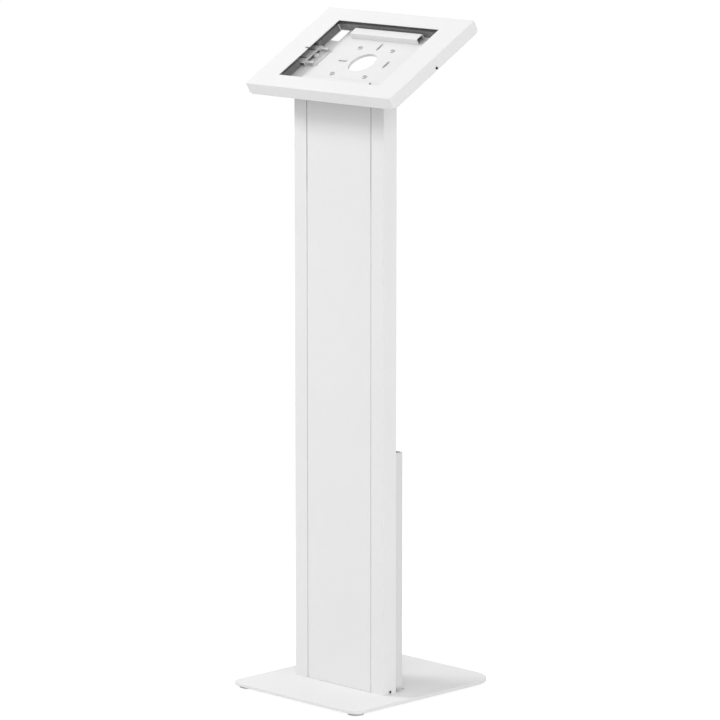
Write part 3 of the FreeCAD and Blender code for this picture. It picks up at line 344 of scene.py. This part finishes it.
def contact_shade(tree, place, reach, depth, openness, levels):
    """Painted shade: one on open surfaces, and less near other surfaces where the object is above a level.
    """
    occlusion = tree.nodes.new("ShaderNodeAmbientOcclusion")
    occlusion.samples = SHADE_SAMPLES
    occlusion.inputs["Distance"].default_value = reach
    split = tree.nodes.new("ShaderNodeSeparateXYZ")
    tree.links.new(place, split.inputs[0])
    above = remap(tree, split.outputs["Z"], *levels, 0.0, 1.0)
    covered = remap(tree, occlusion.outputs["AO"], *openness, depth, 0.0)
    return math_node(tree, "SUBTRACT", 1.0, math_node(tree, "MULTIPLY", covered, above))


def powder_coat(name, colour, roughness=0.52, shade=None):
    """Satin powder coat: fine orange peel, faint clouds, and thinner, glossier paint on the edges, with a
    painted shade near other surfaces where one is given.
    """
    material, tree, shader = new_material(name)
    place = object_coordinates(tree)
    cloud = noise_texture(tree, place, *PAINT_CLOUDS)
    peel = noise_texture(tree, place, *PAINT_PEEL)
    speck = noise_texture(tree, place, *PAINT_SPECKS)
    edges, rounded = edge_mask(tree, EDGE_RADIUS)
    body = mix_colour(tree, remap(tree, cloud, *CLOUD_SPAN, 0.0, 1.0),
                      scaled(colour, CLOUD_TONE), colour)
    painted = mix_colour(tree, math_node(tree, "MULTIPLY", edges, EDGE_COVER), body,
                         scaled(colour, EDGE_TONE))
    # Painted shade: the paint is darkened towards black near other surfaces
    if shade:
        painted = mix_colour(tree, contact_shade(tree, place, *shade), BLACK, painted)
    tree.links.new(painted, shader.inputs["Base Color"])
    gloss = math_node(tree, "ADD",
                      remap(tree, cloud, *NOISE_SPAN, -GLOSS_SPREAD, GLOSS_SPREAD),
                      remap(tree, speck, *NOISE_SPAN, roughness - GLOSS_SPREAD, roughness + GLOSS_SPREAD))
    worn = math_node(tree, "SUBTRACT", gloss, math_node(tree, "MULTIPLY", edges, EDGE_GLOSS))
    tree.links.new(worn, shader.inputs["Roughness"])
    shader.inputs["Specular IOR Level"].default_value = PAINT_SPECULAR
    surface = math_node(tree, "ADD", peel, math_node(tree, "MULTIPLY", speck, SPECK_SHARE))
    tree.links.new(bump(tree, surface, *PAINT_RELIEF, rounded), shader.inputs["Normal"])
    return material


def plated_steel(name, colour, roughness, mottle=0.12, metallic=1.0):
    """Plated or blackened steel, with the mottled lustre of its finish and fine turning marks."""
    material, tree, shader = new_material(name)
    place = object_coordinates(tree)
    shader.inputs["Metallic"].default_value = metallic
    cloud = noise_texture(tree, place, *STEEL_MOTTLE)
    fine = noise_texture(tree, place, *STEEL_MARKS)
    tinted = mix_colour(tree, remap(tree, cloud, *NOISE_SPAN, 0.0, 1.0),
                        scaled(colour, 1.0 - mottle), colour)
    tree.links.new(tinted, shader.inputs["Base Color"])
    spread = [roughness + step for step in STEEL_ROUGHNESS_SPREAD]
    tree.links.new(remap(tree, fine, *MARK_SPAN, *spread), shader.inputs["Roughness"])
    tree.links.new(bump(tree, fine, *STEEL_RELIEF), shader.inputs["Normal"])
    return material


def rubber(name, colour, grain=1500.0):
    """Matt moulded rubber with a fine dry grain and a little dust in it."""
    material, tree, shader = new_material(name)
    place = object_coordinates(tree)
    dust = noise_texture(tree, place, *RUBBER_DUST)
    fine = noise_texture(tree, place, grain)
    tinted = mix_colour(tree, remap(tree, dust, *DUST_SPAN, 0.0, DUST_COVER), colour,
                        scaled(colour, DUST_TONE))
    tree.links.new(tinted, shader.inputs["Base Color"])
    tree.links.new(remap(tree, fine, *NOISE_SPAN, *RUBBER_ROUGHNESS), shader.inputs["Roughness"])
    tree.links.new(bump(tree, fine, *RUBBER_RELIEF), shader.inputs["Normal"])
    return material


def closed_cell_foam(name, colour):
    """Dark foam with cut cells that show as pits of two sizes."""
    material, tree, shader = new_material(name)
    place = object_coordinates(tree)
    heights = []
    for scale in FOAM_CELL_SCALES:
        cells = tree.nodes.new("ShaderNodeTexVoronoi")
        cells.inputs["Scale"].default_value = scale
        tree.links.new(place, cells.inputs["Vector"])
        heights.append(cells.outputs["Distance"])
    cloud = noise_texture(tree, place, *FOAM_CLOUDS)
    depth = math_node(tree, "ADD", heights[0], math_node(tree, "MULTIPLY", heights[1], FINE_CELL_SHARE))
    tone = math_node(tree, "ADD", remap(tree, depth, *FOAM_CELL_SPAN, 0.0, FOAM_TONE_SHARE),
                     remap(tree, cloud, *NOISE_SPAN, 0.0, FOAM_TONE_SHARE))
    darkest, palest = [scaled(colour, share) for share in FOAM_TONES]
    tree.links.new(mix_colour(tree, tone, darkest, palest), shader.inputs["Base Color"])
    shader.inputs["Roughness"].default_value = FOAM_ROUGHNESS
    shader.inputs["Sheen Weight"].default_value = FOAM_SHEEN
    tree.links.new(bump(tree, depth, *FOAM_RELIEF), shader.inputs["Normal"])
    return material


FINISHES = {
    "white_powder_coat": (powder_coat, WHITE_PAINT, {}),
    "column_powder_coat": (powder_coat, WHITE_PAINT, {"shade": COLUMN_SHADE}),
    "cover_powder_coat": (powder_coat, SHADED_COVER_PAINT, {}),
    "tray_powder_coat": (powder_coat, TRAY_PAINT, {"roughness": 0.55, "shade": TRAY_SHADE}),
    "rail_powder_coat": (powder_coat, WHITE_PAINT, {"shade": RAIL_SHADE}),
    "zinc_steel": (plated_steel, ZINC, {"roughness": 0.34}),
    "satin_zinc": (plated_steel, SATIN_ZINC, {"roughness": 0.50, "mottle": 0.07, "metallic": 0.2}),
    "black_steel": (plated_steel, BLACK_STEEL, {"roughness": 0.42}),
    "nickel": (plated_steel, NICKEL, {"roughness": 0.22, "mottle": 0.05}),
    "black_rubber": (rubber, BLACK_RUBBER, {}),
    "grey_rubber": (rubber, GREY_RUBBER, {"grain": 1200.0}),
    "dark_foam": (closed_cell_foam, FOAM, {}),
}
MATERIALS = {name: make(name, colour, **options) for name, (make, colour, options) in FINISHES.items()}


def set_material(piece, name):
    piece.data.materials.clear()
    piece.data.materials.append(MATERIALS[name])


# Mesh helpers

def face_point(x, up, depth):
    """A point given on the face of the head: across, up its slope from the front edge, and below it."""
    return Vector((
        x,
        FACE_FRONT_Y + up * math.cos(HEAD_TILT) + depth * math.sin(HEAD_TILT),
        FACE_FRONT_Z + up * math.sin(HEAD_TILT) - depth * math.cos(HEAD_TILT),
    ))


def piece_from_bmesh(name, mesh, material, body, sharp_angle):
    """Object made of a mesh that rides on a body, shaded smooth apart from its sharp edges."""
    bmesh.ops.recalc_face_normals(mesh, faces=mesh.faces)
    data = bpy.data.meshes.new(name)
    mesh.to_mesh(data)
    mesh.free()
    for polygon in data.polygons:
        polygon.use_smooth = True
    piece = bpy.data.objects.new(name, data)
    bpy.context.scene.collection.objects.link(piece)
    set_material(piece, material)
    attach(piece, body)
    keep_sharp(piece, sharp_angle)
    return piece


def keep_sharp(piece, degrees):
    """Marks the edges of a piece smooth, apart from those where it turns by an angle or more."""
    limit = math.radians(degrees)
    mesh = bmesh.new()
    mesh.from_mesh(piece.data)
    for edge in mesh.edges:
        edge.smooth = edge.calc_face_angle(0.0) < limit
    mesh.to_mesh(piece.data)
    mesh.free()


def ring_solid(mesh, rings, place):
    """Adds a closed solid of stacked rings of points, capped at both ends, moved by place."""
    loops = [[mesh.verts.new(place @ point) for point in ring] for ring in rings]
    count = len(loops[0])
    for lower, upper in zip(loops, loops[1:]):
        for index in range(count):
            after = (index + 1) % count
            mesh.faces.new((lower[index], lower[after], upper[after], upper[index]))
    mesh.faces.new(list(reversed(loops[0])))
    mesh.faces.new(loops[-1])


def round_ring(radius, level, count=SCREW_SIDES):
    turns = [2 * math.pi * index / count for index in range(count)]
    return [Vector((radius * math.cos(turn), radius * math.sin(turn), level)) for turn in turns]


def hexagon_ring(across_flats, level):
    """Ring of points on a hexagon, as many as a round ring has, so that the two can be joined."""
    points = []
    for index in range(SCREW_SIDES):
        turn = 2 * math.pi * index / SCREW_SIDES
        within = (turn % (math.pi / 3)) - math.pi / 6
        radius = across_flats / 2 / math.cos(within)
        points.append(Vector((radius * math.cos(turn), radius * math.sin(turn), level)))
    return points


def facing(seat, outward):
    """Places something drawn along +Z on seat, pointing outward."""
    return Matrix.Translation(seat) @ outward.to_track_quat("Z", "Y").to_matrix().to_4x4()


def socket_rings(width, height, profile, floor_level):
    rings = [hexagon_ring(width * share, height * level) for share, level in profile]
    return rings + [round_ring(width * SOCKET_FLOOR, height * floor_level)]


def button_head(mesh, place, radius, height, socket, shank_radius, shank_length):
    """Button-headed screw with a domed crown, a bevelled hexagon socket and a threaded shank."""
    rings = [round_ring(shank_radius * SHANK_TIP, -shank_length)]
    steps = max(2, int(shank_length / (shank_radius * THREAD_PITCH)))
    for step in range(steps):
        level = -shank_length + (step + 0.5) * shank_length / steps
        rings.append(round_ring(shank_radius if step % 2 else shank_radius * THREAD_ROOT, level))
    rings += [round_ring(shank_radius, 0.0), round_ring(radius * HEAD_SEAT, 0.0)]
    crown = radius * CROWN_FLAT
    for step in range(CROWN_STEPS + 1):
        turn = math.pi / 2 * step / CROWN_STEPS
        rings.append(round_ring(crown + (radius - crown) * math.cos(turn),
                                height * (CROWN_RIM + (1.0 - CROWN_RIM) * math.sin(turn))))
    ring_solid(mesh, rings + socket_rings(socket, height, BUTTON_SOCKET, BUTTON_FLOOR_LEVEL), place)


def cap_head(mesh, place, radius, height, socket, shank_radius, shank_length):
    """Cylinder-headed screw with a chamfered rim, a hexagon socket and a plain shank."""
    rings = [round_ring(shank_radius * share, -shank_length * depth) for share, depth in CAP_SHANK]
    rings += [round_ring(radius * share, height * level) for share, level in CAP_PROFILE]
    ring_solid(mesh, rings + socket_rings(socket, height, CAP_SOCKET, CAP_FLOOR_LEVEL), place)


def domed_washer(mesh, place, radius, height):
    """Cup washer with a rounded rim, which carries a screw head in its middle."""
    rings = [round_ring(radius * share, height * level) for share, level in WASHER_PROFILE]
    ring_solid(mesh, rings, place)


def screw_set(name, node, body, material, spots, outward, sizes, head=button_head):
    """One piece of several like screws that stands for a node of the frame."""
    mesh = bmesh.new()
    for spot in spots:
        direction = outward(spot) if callable(outward) else outward
        head(mesh, facing(spot, direction), *sizes)
    piece = piece_from_bmesh(name, mesh, material, body, SCREW_ANGLE)
    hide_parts(node)


def grid_solid(mesh, cuts, filled, place):
    """Adds the outer faces of the filled cells of an uneven grid, whose corners are given by place."""
    vertices = {}

    def corner(index):
        if index not in vertices:
            vertices[index] = mesh.verts.new(place(*[cuts[axis][index[axis]] for axis in range(3)]))
        return vertices[index]

    def inside(index):
        if any(not 0 <= index[axis] < len(cuts[axis]) - 1 for axis in range(3)):
            return False
        bounds = [cuts[axis][index[axis]:index[axis] + 2] for axis in range(3)]
        return filled(*[(low + high) / 2 for low, high in bounds])

    for index in itertools.product(*[range(len(axis) - 1) for axis in cuts]):
        if not inside(index):
            continue
        for axis, step in itertools.product(range(3), (0, 1)):
            beyond = list(index)
            beyond[axis] += 2 * step - 1
            if inside(beyond):
                continue
            first, second = [other for other in range(3) if other != axis]
            corners = []
            for along, across in ((0, 0), (1, 0), (1, 1), (0, 1)):
                point = list(index)
                point[axis] += step
                point[first] += along
                point[second] += across
                corners.append(corner(tuple(point)))
            mesh.faces.new(corners)
    bmesh.ops.recalc_face_normals(mesh, faces=mesh.faces)


def round_edges(mesh, width):
    """Joins flat neighbours and rounds all the sharp edges of a mesh."""
    bmesh.ops.dissolve_limit(mesh, angle_limit=math.radians(FLAT_ANGLE), verts=mesh.verts,
                             edges=mesh.edges)
    sharp = [edge for edge in mesh.edges if edge.calc_face_angle(0.0) > math.radians(SOLID_ANGLE)]
    bmesh.ops.bevel(mesh, geom=sharp, offset=width, segments=ROUNDING_STEPS, profile=ROUND_PROFILE,
                    affect="EDGES", clamp_overlap=True)
    return mesh


def softened_copy(name, node, body, material, width):
    """Copy of a node's solid with all its sharp edges rounded."""
    mesh = bmesh.new()
    mesh.from_mesh(NODES[node].data)
    bmesh.ops.remove_doubles(mesh, verts=mesh.verts, dist=MERGE_DISTANCE)
    piece = piece_from_bmesh(name, round_edges(mesh, width), material, body, SOLID_ANGLE)
    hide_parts(node)
    return piece


# The nodes of the frame that stay, and their finish

STAYING = {
    "white_powder_coat": ["base_plate", "column_infill", "front_frame"],
    "column_powder_coat": ["column_shell", "column_front_panel"],
    "cover_powder_coat": ["rear_cover"],
    "tray_powder_coat": ["head_tray", "head_bracket", "corner_posts"],
    "rail_powder_coat": ["tray_rail_front", "tray_rail_rear"],
    "zinc_steel": ["seat_plate", "seat_bolts", "column_bridge_lower", "column_bridge_middle",
                   "column_bridge_upper", "cover_standoffs"],
    "nickel": ["panel_magnets"],
}


def finish_staying_nodes():
    for material, names in STAYING.items():
        for name in names:
            set_material(NODES[name], material)


# Pieces that stand for plain nodes, and the beads

def rubber_feet():
    """Feet with a rounded tread, a ring groove in it and a flat top against the plate."""
    for node in [name for name in NODES if name.startswith("base_foot")]:
        low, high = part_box(node)
        centre = (low + high) / 2
        radius = (high.x - low.x) / 2
        height = high.z - low.z
        rings = [round_ring(radius * share, height * level, FOOT_SIDES) for share, level in FOOT_PROFILE]
        mesh = bmesh.new()
        ring_solid(mesh, rings, Matrix.Translation(Vector((centre.x, centre.y, low.z))))
        piece = piece_from_bmesh("foot_" + node[len("base_foot_"):], mesh, "grey_rubber", "stand",
                                 FOOT_ANGLE)
        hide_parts(node)


def grommets():
    for level in ("lower", "upper"):
        softened_copy("grommet_" + level, "cable_grommet_" + level, "stand", "black_rubber",
                      GROMMET_ROUNDING)


def foam_nest():
    for node in [name for name in NODES if name.startswith("foam_")]:
        piece = softened_copy(node.replace("foam_", "nest_"), node, "stand", "dark_foam", FOAM_ROUNDING)


def side_brackets():
    """Brackets folded from sheet: a pad on the tray and two arms with a wall each, a riser with a
    window, and a slotted shelf with a cheek at its rear end and a flange at the frame."""
    shelf_underside = BRACKET_TOP_DEPTH + BRACKET_SHEET
    pad_top = TRAY_DEPTH - BRACKET_SHEET
    front, rear = BRACKET_ENDS
    front_arm, rear_arm = BRACKET_ARMS
    slot_start, slot_end = BRACKET_SLOT_REACH
    for name, side in (("left", -1), ("right", 1)):
        node = "side_bracket_" + name
        low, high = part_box(node)
        reach = max(abs(low.x), abs(high.x))
        pad_end = min(abs(low.x), abs(high.x))

        def shelf_filled(across, up, depth):
            if up > rear - BRACKET_CHEEK or across > reach - BRACKET_SHEET:
                return True
            beside_window = not BRACKET_WINDOW[0] < up < BRACKET_WINDOW[1]
            if across < BRACKET_RISER + BRACKET_SHEET and beside_window:
                return True
            slotted = any(start < up < end for start, end in BRACKET_SLOTS)
            slotted = slotted and slot_start < across < slot_end
            return depth < shelf_underside and not slotted

        def arms_filled(across, up, depth):
            if not front_arm[0] < up < rear_arm[1]:
                return False
            if depth > pad_top:
                return True
            if across < BRACKET_ARM_END:
                return False
            if depth < shelf_underside:
                return any(start < up < end for start, end in BRACKET_ARMS)
            front_wall = front_arm[1] - BRACKET_SHEET < up < front_arm[1]
            return front_wall or up > rear_arm[1] - BRACKET_SHEET

        def filled(across, up, depth):
            part = shelf_filled if across > BRACKET_RISER else arms_filled
            return part(across, up, depth)

        across_cuts = [pad_end, BRACKET_ARM_END, BRACKET_RISER, BRACKET_RISER + BRACKET_SHEET,
                       slot_start, slot_end, reach - BRACKET_SHEET, reach]
        up_cuts = sorted([front, rear - BRACKET_CHEEK, rear,
                          front_arm[1] - BRACKET_SHEET, rear_arm[1] - BRACKET_SHEET,
                          *front_arm, *rear_arm, *BRACKET_WINDOW, *itertools.chain(*BRACKET_SLOTS)])
        depth_cuts = [BRACKET_TOP_DEPTH, shelf_underside, pad_top, TRAY_DEPTH]
        mesh = bmesh.new()
        grid_solid(mesh, (across_cuts, up_cuts, depth_cuts), filled,
                   lambda across, up, depth: face_point(side * across, up, depth))
        piece = piece_from_bmesh("bracket_" + name, round_edges(mesh, BRACKET_ROUNDING), "satin_zinc",
                                 "stand", BRACKET_ANGLE)
        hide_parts(node)


def tray_screws():
    """Screws of the mounting square and of the side brackets, square to the face of the head."""
    half = SCREW_SQUARE / 2
    spots = [face_point(x, TABLET_CENTRE + up, TRAY_DEPTH)
             for x in (-half, half) for up in (-half, half)]
    screw_set("mounting_screws", "vesa_screws", "stand", "zinc_steel", spots, FACE_NORMAL,
              (MOUNTING_HEAD_RADIUS, *MOUNTING_SCREW))
    spots = [face_point(side * BRACKET_SCREW_X, TABLET_CENTRE, TRAY_DEPTH - BRACKET_SHEET)
             for side in (-1, 1)]
    screw_set("bracket_screws", "side_bracket_screws", "stand", "satin_zinc", spots, FACE_NORMAL,
              (BRACKET_HEAD_RADIUS, *BRACKET_SCREW), cap_head)


def back_screws():
    """Screws of the cable cover and of the head's neck, which point to the back."""
    back = Vector((0, 1, 0))
    low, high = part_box("cover_screws")
    radius = COVER_HEAD_RADIUS
    seat = high.y - COVER_SCREW.height
    spots = [Vector((x, seat, z)) for x in (low.x + radius, high.x - radius)
             for z in (low.z + radius, high.z - radius)]
    screw_set("cable_cover_screws", "cover_screws", "cable_cover", "zinc_steel", spots, back,
              (radius, *COVER_SCREW))
    low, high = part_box("spigot_screws")
    radius = (high.z - low.z) / 2
    seat = high.y - NECK_SCREW.height
    spots = [Vector((x, seat, (low.z + high.z) / 2)) for x in (low.x + radius, high.x - radius)]
    screw_set("neck_screws", "spigot_screws", "stand", "zinc_steel", spots, back, (radius, *NECK_SCREW))


def column_side_screws():
    """Black screws low on both sides of the column, each in a bright cup washer."""
    low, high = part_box("column_side_screws")
    radius = (high.z - low.z) / 2
    y = (low.y + high.y) / 2
    z = (low.z + high.z) / 2

    def sideways(spot):
        return Vector((math.copysign(1.0, spot.x), 0.0, 0.0))

    spots = [Vector((x, y, z)) for x in (low.x + SIDE_SCREW_PROUD, high.x - SIDE_SCREW_PROUD)]
    screw_set("side_screw_washers", "column_side_screws", "stand", "satin_zinc", spots, sideways,
              (radius, WASHER_HEIGHT), domed_washer)
    spots = [spot + sideways(spot) * WASHER_HEIGHT * WASHER_SEAT for spot in spots]
    screw_set("side_screws", "column_side_screws", "stand", "black_steel", spots, sideways,
              (SIDE_HEAD_RADIUS, *SIDE_SCREW))


def groove_beads():
    """Thin beads on the edges of the column's lips, which close the grooves a little way in."""
    low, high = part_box("column_front_panel")
    front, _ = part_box("column_shell")
    bottom = low.z + BEAD_END_GAP
    top = high.z - BEAD_END_GAP
    radius = BEAD_WIDTH / 2
    arc = [math.pi * step / BEAD_STEPS for step in range(BEAD_STEPS + 1)]
    for name, side in (("left", -1), ("right", 1)):
        middle = side * (LIP_EDGE - radius)
        crest = [(middle + radius * math.cos(turn),
                  front.y + BEAD_SETBACK + radius * (1.0 - math.sin(turn))) for turn in arc]
        tapered = [(middle + (x - middle) * BEAD_TAPER_SHARE, y + BEAD_TAPER_SETBACK) for x, y in crest]
        back = [(middle - radius, front.y + BEAD_BACK), (middle + radius, front.y + BEAD_BACK)]
        rings = [[Vector((x, y, level)) for x, y in outline + back]
                 for level, outline in ((bottom, tapered), (bottom + BEAD_TAPER, crest),
                                        (top - BEAD_TAPER, crest), (top, tapered))]
        mesh = bmesh.new()
        ring_solid(mesh, rings, Matrix.Identity(4))
        piece = piece_from_bmesh("groove_bead_" + name, mesh, "white_powder_coat", "stand", BEAD_ANGLE)


def lock_screws():
    """Black screws in the sides of the front frame, which lock it."""
    for name, side in (("left", -1), ("right", 1)):
        node = "frame_lock_screw_" + name
        low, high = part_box(node)
        radius = (high.z - low.z) / 2
        outer = high.x if side > 0 else low.x
        seat = Vector((outer - side * LOCK_SCREW.height, (low.y + high.y) / 2, (low.z + high.z) / 2))
        screw_set("lock_screw_" + name, node, "stand", "black_steel", [seat], Vector((side, 0, 0)),
                  (radius, *LOCK_SCREW))


# Studio

def direction_from(azimuth, elevation):
    return Vector((
        math.sin(azimuth) * math.cos(elevation),
        -math.cos(azimuth) * math.cos(elevation),
        math.sin(elevation),
    ))


def soft_lamps():
    for name, (azimuth, elevation, distance, size, power) in LAMPS.items():
        data = bpy.data.lights.new(name, "AREA")
        data.shape = "DISK"
        data.size = size
        data.energy = power
        lamp = bpy.data.objects.new(name, data)
        outward = direction_from(math.radians(azimuth), math.radians(elevation))
        lamp.location = Vector(AIM) + outward * distance
        lamp.rotation_euler = outward.to_track_quat("Z", "Y").to_euler()
        lamp.visible_camera = False
        bpy.context.scene.collection.objects.link(lamp)


def camera_like_rays(tree):
    """One for rays from the camera and for those in gloss and glass, else zero."""
    path = tree.nodes.new("ShaderNodeLightPath")
    total = math_node(tree, "ADD", path.outputs["Is Camera Ray"], path.outputs["Is Glossy Ray"])
    total = math_node(tree, "ADD", total, path.outputs["Is Transmission Ray"])
    return math_node(tree, "MINIMUM", total, 1.0)


def mix_by_ray(tree, lighting, shown, output):
    """Gives the lighting shader to the rays that light the object, and the shown one to the others."""
    mixer = tree.nodes.new("ShaderNodeMixShader")
    tree.links.new(camera_like_rays(tree), mixer.inputs[0])
    tree.links.new(lighting.outputs[0], mixer.inputs[1])
    tree.links.new(shown.outputs[0], mixer.inputs[2])
    tree.links.new(mixer.outputs[0], output.inputs["Surface"])


def white_world():
    world = bpy.data.worlds.new("studio")
    bpy.context.scene.world = world
    world.use_nodes = True
    tree = world.node_tree
    tree.nodes.clear()
    lighting = add_node(tree, "ShaderNodeBackground", Color=WHITE + (1.0,), Strength=WORLD_STRENGTH)
    backdrop = add_node(tree, "ShaderNodeBackground", Color=WHITE + (1.0,), Strength=1.0)
    mix_by_ray(tree, lighting, backdrop, tree.nodes.new("ShaderNodeOutputWorld"))


def studio_floor():
    """Wide pale floor that reads as white and keeps the object's shadow."""
    mesh = bmesh.new()
    bmesh.ops.create_grid(mesh, x_segments=FLOOR_SEGMENTS, y_segments=FLOOR_SEGMENTS, size=FLOOR_SIZE)
    data = bpy.data.meshes.new("floor")
    mesh.to_mesh(data)
    mesh.free()
    floor = bpy.data.objects.new("floor", data)
    bpy.context.scene.collection.objects.link(floor)
    material, tree, shader = new_material("floor")
    tree.nodes.remove(shader)
    output = [node for node in tree.nodes if node.type == "OUTPUT_MATERIAL"][0]
    paper = add_node(tree, "ShaderNodeBsdfDiffuse", Color=FLOOR_PAPER + (1.0,))
    shown = add_node(tree, "ShaderNodeBsdfDiffuse", Color=FLOOR_SHOWN + (1.0,))
    glow = add_node(tree, "ShaderNodeEmission", Color=WHITE + (1.0,), Strength=FLOOR_GLOW)
    lifted = tree.nodes.new("ShaderNodeAddShader")
    tree.links.new(shown.outputs[0], lifted.inputs[0])
    tree.links.new(glow.outputs[0], lifted.inputs[1])
    mix_by_ray(tree, paper, lifted, output)
    floor.data.materials.append(material)


def studio_camera():
    back = direction_from(CAMERA_AZIMUTH, CAMERA_ELEVATION)
    right = Vector((math.cos(CAMERA_AZIMUTH), math.sin(CAMERA_AZIMUTH), 0.0))
    target = Vector((0.0, 0.0, CAMERA_LEVEL)) + right * CAMERA_SIDE_SHIFT
    data = bpy.data.cameras.new("camera")
    data.sensor_fit = "HORIZONTAL"
    data.sensor_width = SENSOR_WIDTH
    data.lens = FOCAL_LENGTH_PIXELS / PICTURE_WIDTH * SENSOR_WIDTH
    data.clip_end = CAMERA_REACH
    camera = bpy.data.objects.new("camera", data)
    camera.location = target + back * CAMERA_DISTANCE
    camera.rotation_euler = back.to_track_quat("Z", "Y").to_euler()
    bpy.context.scene.collection.objects.link(camera)
    bpy.context.scene.camera = camera


def studio():
    white_world()
    studio_floor()
    soft_lamps()
    studio_camera()
    bpy.context.scene.view_settings.view_transform = "Standard"


finish_staying_nodes()
rubber_feet()
grommets()
foam_nest()
side_brackets()
tray_screws()
back_screws()
column_side_screws()
groove_beads()
lock_screws()
studio()
